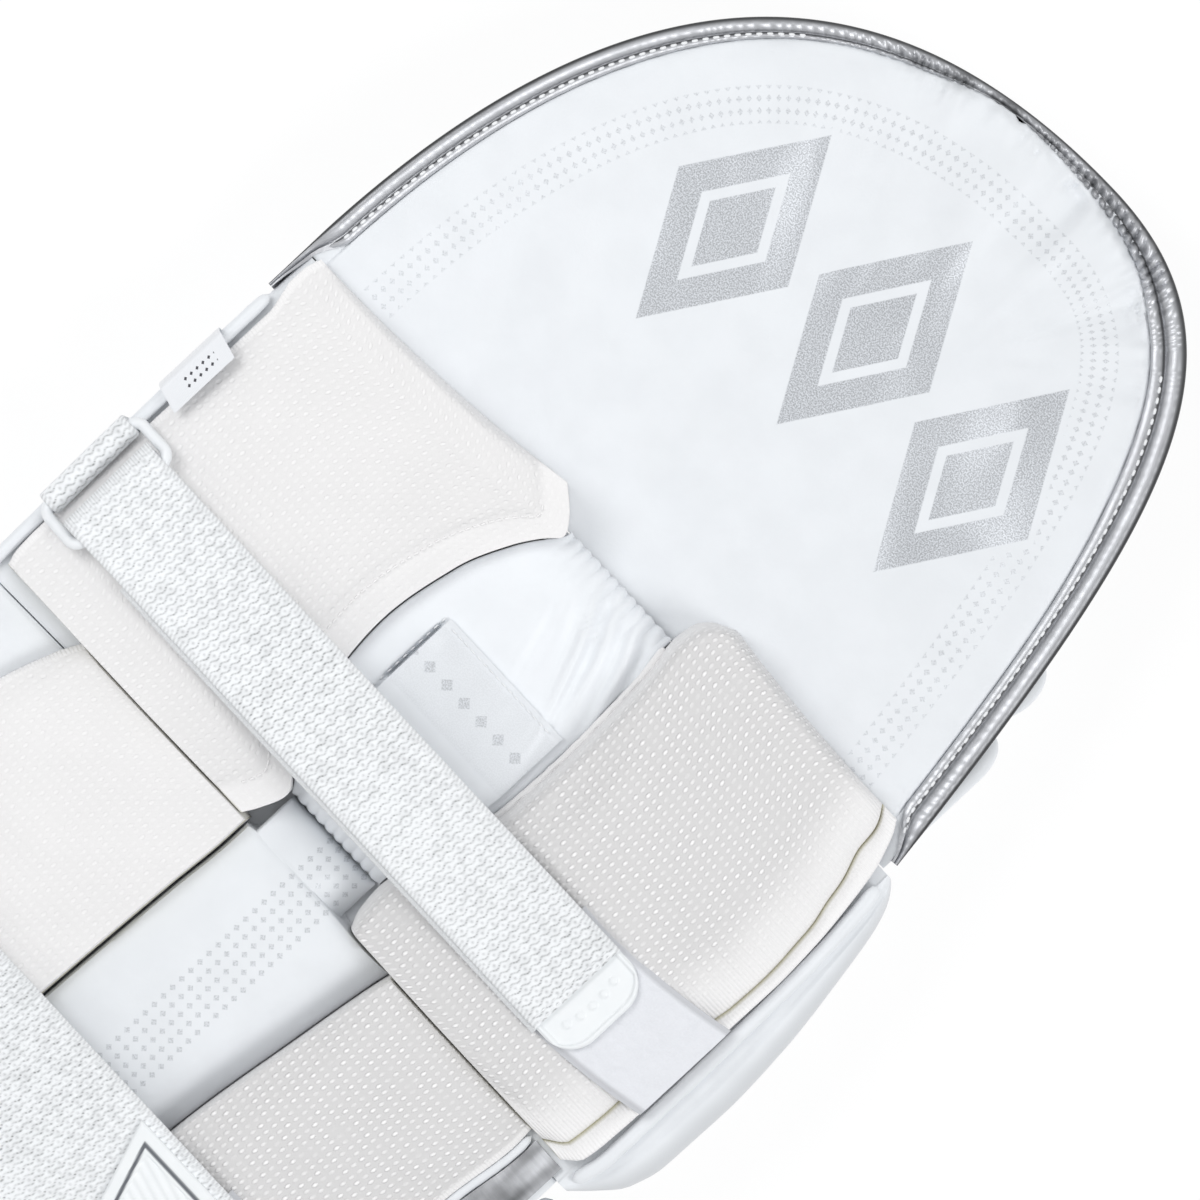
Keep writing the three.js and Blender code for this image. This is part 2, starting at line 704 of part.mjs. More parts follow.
function shinBinding() {
  const { head, cornerRise, cornerShare, from, to, spare } = SHIN_TURN;
  const waist = (x, y) => (innerAt(x, y) - SHOULDER_DROP + frontAt(x, y) + BELLY_LIFT) / 2;
  const side = steps(head, PAD_FOOT + cornerRise, 7).map((y) => {
    const x = rowAt(TROUGH, y).right;
    return new THREE.Vector3(x + SHIN_SEAT, y, waist(x, y));
  });
  const corner = rowAt(TROUGH, PAD_FOOT).right;
  const out = cornerShare * SHIN_SEAT;
  const turn = new THREE.Vector3(corner + out, PAD_FOOT - out, waist(corner, PAD_FOOT));
  const under = steps(from, to, 12).map((share) => {
    const x = share * INSTEP_HALF;
    const y = instepAt(x);
    const slope = (-2 * INSTEP_RISE * share) / INSTEP_HALF;
    const away = (SHIN_SEAT + spare) / Math.hypot(slope, 1);
    return new THREE.Vector3(x + slope * away, y - away, waist(x, y));
  });
  return cord(new THREE.CatmullRomCurve3([...side, turn, ...under]), SHIN_BEAD, 40);
}

// The line that a taut strap takes over points it may not sink below.
function taut(points) {
  const line = [];
  for (const point of points) {
    while (line.length > 1) {
      const [a, b] = line.slice(-2);
      const turn = (b.x - a.x) * (point.z - a.z) - (b.z - a.z) * (point.x - a.x);
      if (turn < 0) {
        break;
      }
      line.pop();
    }
    line.push(point);
  }
  return line;
}

function heightOn(line, x) {
  let place = 0;
  while (place < line.length - 2 && line[place + 1].x < x) {
    place += 1;
  }
  const from = line[place];
  const to = line[place + 1];
  return lerp(from.z, to.z, (x - from.x) / (to.x - from.x));
}

// Where each piece of a strap set lies. The set leans along the leg as the bolsters under it do,
// and its root slants with the pad's edge: heights are worked out with that lean taken out.
function strapPlan(strap) {
  const { low, high, webEnd, patchFrom, patchTo, swing } = strap;
  const middle = (low + high) / 2;
  const [leftBolster, rightBolster] = strap.name === "knee" ? BOLSTERS.slice(0, 2) : BOLSTERS.slice(2);
  const crownLine = (bolster, y) => crownAt(bolster, bolster.middle, y);
  const crownRise = (bolster) => crownLine(bolster, high) - crownLine(bolster, low);
  const lean = (crownRise(leftBolster) + crownRise(rightBolster)) / 2 / (high - low);
  const slant = (rowAt(TROUGH, high).left - rowAt(TROUGH, low).left) / (high - low);
  const highest = (heightAt, from, to) =>
    Math.max(...steps(from, to, 4).map((y) => heightAt(y) - lean * (y - middle)));

  // The ring hangs between the strap's bar and the tab's bar.
  const edge = rowAt(TROUGH, middle).left;
  const bar = edge + RING_INNER;
  const tabBar = edge + RING_OUTER;
  const start = bar + WEB_SLACK;
  const overLeft = (x) => highest((y) => crownAt(leftBolster, x, y), low, high) + GAP;
  const barHeight = overLeft(start) + ROD_RADIUS + ROD_CLEAR + WEB_LAYER;
  const edgePlace = (y) => rowAt(TROUGH, y).left + PIPING_INSET;
  const pipingTop = highest((y) => pipingHeight(edgePlace(y), y), low, high) + PIPING_RADIUS;
  const tabHeight = pipingTop + GAP + ROD_RADIUS + ROD_CLEAR + TAB_THICKNESS;

  // The loop patch lies on the right bolster and runs out to the pad's edge.
  const patchMiddle = (x) => middle + swing * Math.max(0, x - patchFrom - SWING_START) ** 2;
  const patchHalf = (high - low) / 2 + LOOP_SPARE;
  const overRight = (x) => {
    const heightAt = (y) => {
      const { outer, welt } = rowAt(rightBolster.rows, y);
      if (x < outer) {
        return crownAt(rightBolster, x, y);
      }
      return welt ? innerAt(x, y) + GAP + WELT_HEIGHT : shellTopAt(x, y) + GAP + LINING_THICKNESS;
    };
    return highest(heightAt, patchMiddle(x) - patchHalf, patchMiddle(x) + patchHalf) + GAP;
  };
  const patchLine = taut(steps(patchFrom, patchTo, 16).map((x) => ({ x, z: overRight(x) })));
  const patchTop = (x) => heightOn(patchLine, Math.max(x, patchFrom)) + LOOP_THICKNESS;

  // The webbing runs from the ring over the left bolster to the patch.
  const leftEnd = rowAt(leftBolster.rows, middle).inner - BOLSTER_ROLL / 2;
  const webLine = taut([
    { x: start, z: barHeight - WEB_LAYER },
    ...steps(start, leftEnd, 4).slice(1).map((x) => ({ x, z: overLeft(x) })),
    ...steps(patchFrom - 1, webEnd, 3).map((x) => ({ x, z: patchTop(x) + GAP })),
  ]);

  // Brings a piece of the set to its lean and slant.
  const settle = (geometry) => {
    const places = geometry.getAttribute("position");
    for (let i = 0; i < places.count; i += 1) {
      const along = places.getY(i) - middle;
      const root = 1 - smoothstep(places.getX(i), start, start + ROOT_RUN);
      places.setX(i, places.getX(i) + slant * along * root);
      places.setZ(i, places.getZ(i) + lean * along);
    }
    return geometry;
  };
  const root = { bar, tabBar, barHeight, tabHeight };
  return { low, high, middle, ...root, webLine, patchLine, patchMiddle, patchTop, settle };
}

function strapWeb(plan, webEnd) {
  const { bar, barHeight, webLine, low, high } = plan;
  const half = ROD_RADIUS + ROD_CLEAR + WEB_LAYER;
  const end = { x: webEnd, z: heightOn(webLine, webEnd) };
  const run = [...webLine.filter(({ x }) => x < webEnd), end];
  const shape = new THREE.Shape();
  shape.moveTo(end.x, end.z);
  for (const { x, z } of run.slice(0, -1).reverse()) {
    shape.lineTo(x, z);
  }
  const turns = steps(-90, -270, 8);
  const round = (degrees, across, up) => {
    const angle = THREE.MathUtils.degToRad(degrees);
    return [bar + across * Math.cos(angle), barHeight + up * Math.sin(angle)];
  };
  for (const turn of turns) {
    shape.lineTo(...round(turn, WEB_SLACK, half));
  }
  for (const { x, z } of run) {
    shape.lineTo(x, z + WEB_THICKNESS);
  }
  const eye = new THREE.Path();
  const start = run[0].x - 1;
  eye.moveTo(start, barHeight);
  for (const turn of turns.toReversed()) {
    eye.lineTo(...round(turn, WEB_SLACK - WEB_LAYER, half - WEB_LAYER));
  }
  shape.holes.push(eye);
  return plan.settle(drawnAlongLeg(shape, low, high));
}

function strapRing(plan) {
  const { bar, tabBar, barHeight, tabHeight, low, high, middle } = plan;
  const centre = new THREE.Vector3((bar + tabBar) / 2, middle, (barHeight + tabHeight) / 2);
  const along = new THREE.Vector3(bar - tabBar, 0, barHeight - tabHeight);
  const halfLength = along.length() / 2;
  const halfWidth = (high - low) / 2 + ROD_CLEAR + ROD_RADIUS;
  along.normalize();
  const across = new THREE.Vector3(0, 1, 0);
  const up = along.clone().cross(across);
  const corners = [
    [1, 1, 0],
    [-1, 1, 90],
    [-1, -1, 180],
    [1, -1, 270],
  ];
  const section = steps(0, 360, 6)
    .slice(0, -1)
    .map((degrees) => THREE.MathUtils.degToRad(degrees))
    .map((angle) => new THREE.Vector2(Math.cos(angle), Math.sin(angle)).multiplyScalar(ROD_RADIUS));
  const rings = corners.flatMap(([sideways, lengthways, from]) =>
    steps(from, from + 90, 3).map((degrees) => {
      const angle = THREE.MathUtils.degToRad(degrees);
      const out = along.clone().multiplyScalar(Math.cos(angle)).addScaledVector(across, Math.sin(angle));
      const spot = centre
        .clone()
        .addScaledVector(along, sideways * (halfLength - RING_CORNER))
        .addScaledVector(across, lengthways * (halfWidth - RING_CORNER))
        .addScaledVector(out, RING_CORNER);
      return section.map((p) => spot.clone().addScaledVector(out, p.x).addScaledVector(up, p.y));
    }),
  );
  return plan.settle(loft(rings, section, true));
}

function strapTab(plan) {
  const { tabBar, tabHeight, low, high } = plan;
  const radius = ROD_RADIUS + ROD_CLEAR + TAB_THICKNESS;
  const outer = tabBar - radius;
  const inner = outer + TAB_THICKNESS;
  const shape = new THREE.Shape();
  shape.moveTo(outer, tabHeight - TAB_LENGTH);
  shape.lineTo(outer, tabHeight);
  for (const degrees of steps(180, -127, 12)) {
    const angle = THREE.MathUtils.degToRad(degrees);
    shape.lineTo(tabBar + radius * Math.cos(angle), tabHeight + radius * Math.sin(angle));
  }
  shape.lineTo(inner, tabHeight - radius);
  shape.lineTo(inner, tabHeight - TAB_LENGTH);
  const eye = new THREE.Path().absarc(tabBar, tabHeight, ROD_RADIUS + ROD_CLEAR, 0, 2 * Math.PI);
  shape.holes.push(eye);
  return plan.settle(drawnAlongLeg(shape, low, high));
}

function loopPatch(plan, patchFrom, patchTo) {
  const half = (plan.high - plan.low) / 2 + LOOP_SPARE;
  const patch = slab(steps(-half, half, 2), steps(patchFrom, patchTo, 8), (aside, x) => {
    const low = heightOn(plan.patchLine, x);
    return { x, y: plan.patchMiddle(x) + aside, low, high: low + LOOP_THICKNESS };
  });
  return plan.settle(patch);
}

function strapTip(plan, webEnd) {
  const half = (plan.high - plan.low) / 2 - TIP_SPARE;
  const straight = half - TIP_CORNER;
  const rows = [-1, -0.94, -0.8, -0.5, 0, 0.5, 0.8, 0.94, 1];
  const tip = slab(rows, steps(0, 1, 2), (row, column) => {
    const aside = row * half;
    const past = Math.max(0, Math.abs(aside) - straight);
    const end = webEnd + TIP_LENGTH - TIP_CORNER + Math.sqrt(TIP_CORNER ** 2 - past ** 2);
    const x = lerp(webEnd + GAP, end, column);
    const low = plan.patchTop(x) + GAP;
    return { x, y: plan.middle + aside, low, high: low + TIP_THICKNESS };
  });
  return plan.settle(tip);
}

function calfBadge(plan) {
  const rows = steps(BADGE.foot, BADGE.head, 4);
  const badge = slab(rows, steps(0, 1, 5), (y, column) => {
    const lean = BADGE.taper * (BADGE.head - y);
    const x = lerp(BADGE.left + lean, BADGE.left + BADGE.width - lean, column);
    const low = heightOn(plan.webLine, x) + WEB_THICKNESS + GAP;
    return { x, y, low, high: low + BADGE.thickness };
  });
  return plan.settle(badge);
}

// A side view of a ribbon of one thickness along a line in X and Z.
function ribbon(thread, thickness) {
  const sides = thread.map(({ x, z }, place) => {
    const before = thread[Math.max(0, place - 1)];
    const after = thread[Math.min(thread.length - 1, place + 1)];
    const half = thickness / 2 / Math.hypot(after.x - before.x, after.z - before.z);
    const across = new THREE.Vector2(after.z - before.z, before.x - after.x).multiplyScalar(half);
    const middle = new THREE.Vector2(x, z);
    return { right: middle.clone().add(across), left: middle.clone().sub(across) };
  });
  const rights = sides.map(({ right }) => right);
  const lefts = sides.map(({ left }) => left);
  return new THREE.Shape([...rights, ...lefts.reverse()]);
}

// The folded tag in the left seam: it comes out beside the piping and leans in over the bolster.
function sideLabel() {
  const middle = (LABEL.foot + LABEL.head) / 2;
  const edge = rowAt(TROUGH, middle).left;
  const seam = shellTopAt(edge + PIPING_INSET, middle);
  const crown = crownAt(BOLSTERS[0], edge + LABEL.reach, middle);
  const spine = new THREE.CatmullRomCurve3([
    ...LABEL_RISE.map(({ out, up }) => new THREE.Vector3(edge + out, 0, seam + up)),
    ...LABEL_LIE.map(({ out, up }) => new THREE.Vector3(edge + out, 0, crown + up)),
  ]);
  const tag = drawnAlongLeg(ribbon(spine.getPoints(12), LABEL.thickness), LABEL.foot, LABEL.head);
  const shear = new THREE.Matrix4().makeShear(-LABEL.skew, 0, 0, 0, 0, 0);
  return tag.translate(-edge, 0, 0).applyMatrix4(shear).translate(edge, 0, 0);
}

// The assembly
const pad = new THREE.Group();
pad.position.x = LEG_LINE;

function place(name, geometry, material) {
  const piece = new THREE.Mesh(geometry, material());
  piece.name = name;
  pad.add(piece);
}

const line = flapLine();
place("flap", flap(line), whiteLeather);
place("flap_binding", flapBinding(line), silverLeather);
for (const size of KNEE_ROLLS) {
  place(size.name, kneeRoll(size), whiteLeather);
}
place("knee_face", kneeFace(), whiteLeather);
place("shin_face", shinFace(), whiteLeather);
place("edge_piping_left", edgePipingLeft(), whiteLeather);
place("edge_band_right", edgeBandRight(), whiteLeather);
place("shin_binding", shinBinding(), silverLeather);
for (const bolster of BOLSTERS) {
  place(bolster.name, bolsterPad(bolster), creamMesh);
}
place("knee_cup", kneeCup(), whiteLeather);
place("knee_patch", kneePatch(), whiteLeather);
place("shin_panel", shinPanel(), whiteLeather);
place("side_lining", sideLining(), silverLeather);
place("side_label", sideLabel(), whiteSatin);
for (const strap of STRAPS) {
  const plan = strapPlan(strap);
  place(`${strap.name}_strap`, strapWeb(plan, strap.webEnd), whiteWebbing);
  place(`${strap.name}_ring`, strapRing(plan), whitePlastic);
  place(`${strap.name}_tab`, strapTab(plan), whiteWebbing);
  place(`${strap.name}_loop_patch`, loopPatch(plan, strap.patchFrom, strap.patchTo), loopPile);
  place(`${strap.name}_strap_tip`, strapTip(plan, strap.webEnd), clearRubber);
  if (strap.name === "calf") {
    place("calf_badge", calfBadge(plan), clearRubber);
  }
}

export default pad;
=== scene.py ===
"""Looks of a cricket batting pad that lies on its front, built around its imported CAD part.

Sizes are in millimetres and places across the pad are measured from the line of the leg,
as in the part's own source; place() brings them to metres in the row frame.
"""

import math

import bpy
import numpy as np
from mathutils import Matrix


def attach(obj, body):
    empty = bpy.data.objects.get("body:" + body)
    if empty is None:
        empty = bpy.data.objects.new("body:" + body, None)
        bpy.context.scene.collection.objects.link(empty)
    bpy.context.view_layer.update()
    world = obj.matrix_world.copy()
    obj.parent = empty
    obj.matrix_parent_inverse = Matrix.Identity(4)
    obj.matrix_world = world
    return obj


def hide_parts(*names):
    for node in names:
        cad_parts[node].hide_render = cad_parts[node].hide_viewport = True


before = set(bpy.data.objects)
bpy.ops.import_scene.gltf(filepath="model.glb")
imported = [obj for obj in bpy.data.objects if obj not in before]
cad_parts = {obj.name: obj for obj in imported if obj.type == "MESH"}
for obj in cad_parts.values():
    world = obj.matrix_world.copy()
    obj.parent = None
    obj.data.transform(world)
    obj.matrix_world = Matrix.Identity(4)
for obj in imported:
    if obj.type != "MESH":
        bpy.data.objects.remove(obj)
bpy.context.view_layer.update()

bl_info = {
    "name": "Batting Pad",
    "version": (1, 0, 0),
    "blender": (4, 5, 0),
    "location": "View3D > Sidebar > Batting Pad",
    "description": "Builds a cricket batting pad that lies with its leg side up",
    "category": "Object",
}

# Driving sizes
MM = 0.001
GAP = 0.5
SEAM = 1.2
LEG_LINE = -9.6
HALF_WIDTH = 135.0
PAD_FOOT = -345.3
INSTEP_RISE = 40.0
INSTEP_HALF = 104.0
FOOT_CORNER = 10.0
KNEE_FOOT = 2.0
FLAP_FOOT = 146.0
ROLL_POWER = 2.4

# A plain underside has a point for every few of its upper skin's points
PLAIN_BELOW = 4

# The trough that the leg lies in, from the ankle to the flap's top
TROUGH = {
    "y": (-350, -200, 0, 146, 350),
    "left": (-102, -116, -133, -135, -135),
    "right": (104, 120, 135, 135, 135),
    "core": (19, 21, 24, 24, 33),
    "rise": (15, 21, 26, 26, 20),
    "depth": (23, 27, 32, 32, 12),
}
SHOULDER = 12.0
SHOULDER_DROP = 6.0
BELLY_LIFT = 8.0
RIB_PITCH = 34.0
RIB_DEPTH = 4.5

# The wing's reach past its seam
WING = {
    "y": (2, 9, 17, 30, 57, 85, 113, 130, 140, 146),
    "reach": (5, 12, 18, 21, 21.5, 19.5, 15, 11.5, 8, 5),
}
WING_EQUATOR = 28.0
WING_EDGE = 1.2
WING_CORNER = 10.0
WING_POWER = 3.6
SEAM_FALL = 2.0
SEAM_ROLL = 5.0

# The flap's outer line: two curves that meet at the apex
FLAP_LEFT_CURVE = ((-137.4, 150), (-137.4, 268), (-94, 350), (25, 350))
FLAP_RIGHT_CURVE = ((25, 350), (98, 350), (115, 285), (135.4, 150))
FLAP_THICKNESS = 12.0
FLAP_RIM = 5.8
FLAP_ROLL = 18.0

# Points along the flap's outer line, for its lining, its measures and its binding
LINING_POINTS = 420
OUTLINE_POINTS = 1400
BINDING_POINTS = 960

# The binding at shares of the flap's outer line: its bead, how far its tape reaches, its crumples
BINDING = {
    "share": (0, 0.2, 0.34, 0.4, 0.46, 0.5, 0.55, 0.59, 0.63, 0.7, 0.85, 1),
    "bead": (2.7, 2.6, 2.5, 2.4, 1.5, 1.8, 2.4, 3.0, 3.6, 3.6, 3.3, 3.2),
    "lift": (2.2, 2.2, 2.2, 2.1, 1.4, 1.6, 1.8, 1.9, 1.9, 1.9, 1.9, 1.9),
    "tape": (8.2, 8.0, 6.6, 6.2, 3.4, 4.8, 7.4, 9.4, 11.6, 11.6, 10, 9.8),
    "crumple": (0.04, 0.02, 0.2, 0.7, 0.35, 0.7, 1.0, 0.9, 0.25, 0.03, 0.03, 0.2),
}
BINDING_SEAM = 0.4
BINDING_TUCK = 9.0
BINDING_TAIL = 20.0
UNDER_TAPE = 8.0

# Rolls on the flap's front
KNEE_ROLLS = (
    {"node": "knee_roll_lower", "foot": 151, "head": 202, "left": -129, "right": 134.5},
    {"node": "knee_roll_upper", "foot": 204.5, "head": 229.5, "left": -123, "right": 128},
)
ROLL_THICKNESS = 14.0
ROLL_EDGE = 9.0

# Bolsters: inner and outer edges from foot to head
KNEE_LEFT = {
    "y": (8.5, 14, 23, 34, 50, 84, 112, 130, 139, 144, 150, 156.5),
    "inner": (-20, -17, -14, -23, -30, -34.5, -30.5, -23.5, -18, -14, -18, -26),
    "outer": (-128, -129.5, -130, -130, -130, -130, -130, -130, -131.5, -132.5, -132.5, -131),
}
KNEE_RIGHT = {
    "y": (8, 14, 24, 52, 72, 95, 115, 132, 147, 155, 160, 164),
    "inner": (31, 28.5, 27.5, 34, 37.5, 38, 37.2, 36, 34, 35, 38.5, 46),
    "outer": (121, 127.5, 128.5, 130, 131, 131.8, 130.3, 127.5, 123.5, 121.5, 120, 118),
    "welt": (130, 135, 136, 136.6, 136.2, 136.4, 135.4, 133.5, 131, 128.5, 126.5, 124),
}
SHIN_LEFT = {
    "y": (-322, -312, -200, -80, -25, 0, 8.35),
    "inner": (-29, -26, -24.5, -21, -18.5, -17, -17),
    "outer": (-84, -90, -101, -109.5, -105, -98, -94),
}
SHIN_RIGHT = {
    "y": (-322, -312, -200, -80, -25, 0, 7.85),
    "inner": (35, 32, 35, 39.5, 46, 49.5, 51),
    "outer": (86, 92, 103, 112, 115, 117.5, 117),
}
# dimples: how strongly the mesh's dimples show, with their painted shade; at 1 the right bolsters are painted
# darker than the left
BOLSTERS = {
    "knee_bolster_left": {
        "edges": KNEE_LEFT, "foot_top": 62, "head_top": 62, "middle": -78, "fall": 5, "bow": 3,
        "head_drop": 9, "inner_power": 1.2, "inner_reach": 14, "inner_rim": 22, "outer_reach": 13,
        "dip": 5, "seam": 10.4, "ribs": 2.5, "dimples": 0.5, "seed": 3,
    },
    "knee_bolster_right": {
        "edges": KNEE_RIGHT, "foot_top": 60.5, "head_top": 60.5, "middle": 82, "fall": 5, "bow": 3,
        "head_drop": 4, "inner_power": 2.6, "inner_reach": 6, "inner_rim": 3, "outer_reach": 13,
        "dip": 2, "seam": 1.6, "ribs": 24, "dimples": 1, "seed": 5,
    },
    "shin_bolster_left": {
        "edges": SHIN_LEFT, "foot_top": 44, "head_top": 54, "middle": -64, "fall": 4, "bow": 1,
        "head_drop": 0, "inner_power": 2.6, "inner_reach": 1.0, "inner_rim": 3, "outer_reach": 13,
        "dip": 1, "seam": 0, "ribs": 2.5, "dimples": 0.42, "seed": 7,
    },
    "shin_bolster_right": {
        "edges": SHIN_RIGHT, "foot_top": 43, "head_top": 53, "middle": 78, "fall": 4, "bow": 1,
        "head_drop": 0, "inner_power": 2.6, "inner_reach": 1.4, "inner_rim": 3, "outer_reach": 13,
        "dip": 0, "seam": 0, "ribs": 2.5, "dimples": 1, "seed": 9,
    },
}
BOLSTER_ROLL = 13.0
BOLSTER_END = 4.0
SEAM_END = 0.7
SEAM_LINE = 0.5
BOLSTER_RIM = 3.0
CROWN_HALF = 54.0
WELT_HEIGHT = 6.0
CREASE_WIDTH = 1.0
CREASE_HEIGHT = 3.6

# Cords sewn beside the right bolsters
CORD_RADIUS = 1.2
CORD_INSET = 0.3
EDGING_RADIUS = 1.5

# How covers are blown out by their filling, and how far each may move
BOLSTER_PUFF = 2.2
PANEL_PUFF = 1.6
PUFF_STEP = 4.5
PUFF_TICKS = 20
PUFF_PRESSURE = 4.0
PUFF_SLACK = 0.012
PUFF_START = 0.95

# Knee cup and its patch, shin panel and side lining
CUP_FOOT = 24.0
CUP_HEAD = 145.0
CUP_RIM = 4.0
CUP_SWELL = 12.0
CUP_ROLL = 18.0
CUP_LEFT_SIDE = 0.8
CUP_RIGHT_SIDE = 0.5
CUP_OVERHANG = 1.2
GATHER_PITCH = 4.6
PATCH = {"left": -19.5, "right": 33, "foot": 44, "head": 99.5, "thickness": 1.2, "margin": 4}
SLIT = {"x": -20.3, "half": 0.7, "depth": 4, "foot": 70, "head": 98}
SHIN_PANEL = {
    "foot": -318, "head": 23, "rim": 2.5, "swell": 13, "roll": 20, "left_roll": 1.2, "right_roll": 14,
    "neck_foot": 6.6, "neck_head": 7.6,
}
LINING = {"foot": -330, "head": 6, "inset": 2.4, "start": 3.4, "thickness": 1.2}

# Pipings along the edges
PIPING_RADIUS = 2.2
PIPING_INSET = 0.8
PIPING_LIFT = 2.3
PIPING_HEAD = 128.0
PIPING_FOOT = -338.0
BAND = {"y": (6, 20, 60, 100, 130, 141), "x": (138, 140.2, 140, 139.2, 137.2, 135.6)}
BAND_RADIUS = 2.5
SHIN_BEAD = 3.6
SHIN_SEAT = 4.35
SHIN_TURN = {"head": -4, "corner_rise": 12, "corner_share": 0.4, "from": 0.84, "to": -0.97, "spare": 0.3}

# Straps
STRAPS = (
    {"name": "knee", "low": 31.2, "high": 68, "end": 94, "patch_from": 76, "patch_to": 136.4,
     "swing": 0.0021, "samples": 6},
    {"name": "calf", "low": -141, "high": -76, "end": 84, "patch_from": 66, "patch_to": 122,
     "swing": 0, "samples": 5},
    {"name": "ankle", "low": -290, "high": -252, "end": 66, "patch_from": 48, "patch_to": 106,
     "swing": 0, "samples": 4},
)
SWING_START = 4.0
WEAVE_WIDTH = 1.74
WEAVE_SWAY = 0.17
PLAIN_RUN = 26.0
SELVEDGE = 1.6
SELVEDGE_PITCH = 1.5
WEB_THICKNESS = 2.6
WEB_LAYER = 1.3
WEB_SLACK = 9.0
ROD_RADIUS = 1.9
ROD_CLEAR = 0.6
RING_CORNER = 4.0
RING_INNER = 17.8
RING_OUTER = 1.0
ROOT_RUN = 50.0
TAB_THICKNESS = 1.6
TAB_LENGTH = 19.0
LOOP_THICKNESS = 1.6
LOOP_SPARE = 1.2
TIP_LENGTH = 15.0
TIP_CORNER = 11.0
TIP_SPARE = 0.3
BADGE = {"left": 30, "width": 60, "foot": -134, "head": -80, "taper": 0.36}
LABEL = {"foot": 82.5, "head": 108.5, "skew": 0.25, "thickness": 0.5, "reach": 9}
LABEL_RISE = ((-1.8, -2), (-2.4, 6))
LABEL_LIE = ((-0.6, 2.9), (3, 3.5), (8.6, 2.5))

# The flap's printed lozenges, in metres
LOZENGES = ((-0.050, 0.252), (0.006, 0.262), (0.062, 0.252))
LOZENGE_HALF_WIDTH = 0.026
LOZENGE_HALF_HEIGHT = 0.043


class PadLooks(bpy.types.PropertyGroup):
    """Sizes and colours of the pad's finishes"""

    dimple_pitch: bpy.props.FloatProperty(
        name="Dimple pitch", description="Distance between the mesh's dimples along a row",
        default=0.0051, unit="LENGTH",
    )
    weave_pitch: bpy.props.FloatProperty(
        name="Weave pitch", description="Distance between the webbing's rows of rings",
        default=0.00248, unit="LENGTH",
    )
    weave_depth: bpy.props.FloatProperty(
        name="Weave depth", description="How far the webbing's rings stand up",
        default=0.00055, unit="LENGTH",
    )
    pucker_depth: bpy.props.FloatProperty(
        name="Pucker depth", description="Depth of the lining's puckers along the binding",
        default=0.0015, unit="LENGTH",
    )
    gather_depth: bpy.props.FloatProperty(
        name="Gather depth", description="Depth of the knee cup's folds", default=0.0017, unit="LENGTH",
    )
    leather_colour: bpy.props.FloatVectorProperty(
        name="Leather", description="Colour of the coated leather", subtype="COLOR",
        default=(0.805, 0.83, 0.86),
    )
    mesh_colour: bpy.props.FloatVectorProperty(
        name="Mesh", description="Colour of the spacer mesh", subtype="COLOR", default=(0.955, 0.947, 0.949),
    )
    silver_colour: bpy.props.FloatVectorProperty(
        name="Silver", description="Colour of the silver binding", subtype="COLOR",
        default=(0.56, 0.57, 0.595),
    )
    webbing_colour: bpy.props.FloatVectorProperty(
        name="Webbing", description="Colour of the straps", subtype="COLOR", default=(0.935, 0.955, 0.975),
    )
    pile_colour: bpy.props.FloatVectorProperty(
        name="Loop pile", description="Colour of the loop patches", subtype="COLOR",
        default=(0.80, 0.815, 0.855),
    )
    print_colour: bpy.props.FloatVectorProperty(
        name="Print", description="Colour of the silver prints", subtype="COLOR", default=(0.56, 0.58, 0.61),
    )


# Numbers
def lerp(a, b, share):
    return a + (b - a) * share


def smoothstep(value, low, high):
    share = np.clip((value - low) / (high - low), 0, 1)
    return share * share * (3 - 2 * share)


def roll(distance, reach, power=ROLL_POWER):
    """Share of the full height at a distance from a rolled edge."""
    out = 1 - np.clip(distance / reach, 0, 1)
    return (1 - out**power) ** (1 / power)


def rolled_steps(start, end, reach, edge_count, middle_count):
    """Steps that crowd at both ends, where an edge is rolled."""
    angle = np.linspace(0, math.pi / 2, edge_count + 1)
    ladder = reach * (1 - np.cos(angle) ** (2 / ROLL_POWER))
    middle = np.linspace(start + reach, end - reach, middle_count + 1)[1:-1]
    return np.concatenate([start + ladder, middle, end - ladder[::-1]])


def along(table, name, place, axis="y"):
    """A table's column at places along its axis, joined by smooth curves that don't overshoot."""
    places = np.array(table[axis], float)
    values = np.array(table[name], float)
    gaps = np.diff(places)
    slopes = np.diff(values) / gaps
    tangents = np.concatenate([slopes[:1], np.zeros(len(slopes) - 1), slopes[-1:]])
    same = slopes[1:] * slopes[:-1] > 0
    mean = 2 * slopes[1:] * slopes[:-1] / np.where(same, slopes[1:] + slopes[:-1], 1)
    tangents[1:-1] = np.where(same, mean, 0)
    place = np.clip(place, places[0], places[-1])
    spot = np.clip(np.searchsorted(places, place) - 1, 0, len(gaps) - 1)
    t = (place - places[spot]) / gaps[spot]
    start = values[spot] + tangents[spot] * gaps[spot] * t * (1 - t) ** 2 - values[spot] * t**2 * (3 - 2 * t)
    end = values[spot + 1] * t**2 * (3 - 2 * t) - tangents[spot + 1] * gaps[spot] * t**2 * (1 - t)
    return start + end


def hills(u, v, size, seed):
    """Smooth random hills from -1 to 1, about size apart."""
    table = np.random.default_rng(seed).uniform(-1, 1, (97, 97))
    u, v = np.broadcast_arrays(np.asarray(u, float) / size, np.asarray(v, float) / size)
    column = np.floor(u).astype(int)
    row = np.floor(v).astype(int)
    right = smoothstep(u - column, 0, 1)
    up = smoothstep(v - row, 0, 1)
    near = lerp(table[row % 97, column % 97], table[row % 97, (column + 1) % 97], right)
    far = lerp(table[(row + 1) % 97, column % 97], table[(row + 1) % 97, (column + 1) % 97], right)
    return lerp(near, far, up)


def run_along(line):
    """Length along a line of points, at each of them."""
    return np.concatenate([[0], np.linalg.norm(np.diff(line, axis=0), axis=1).cumsum()])


def line_length(line):
    return np.linalg.norm(np.diff(line, axis=0), axis=1).sum()


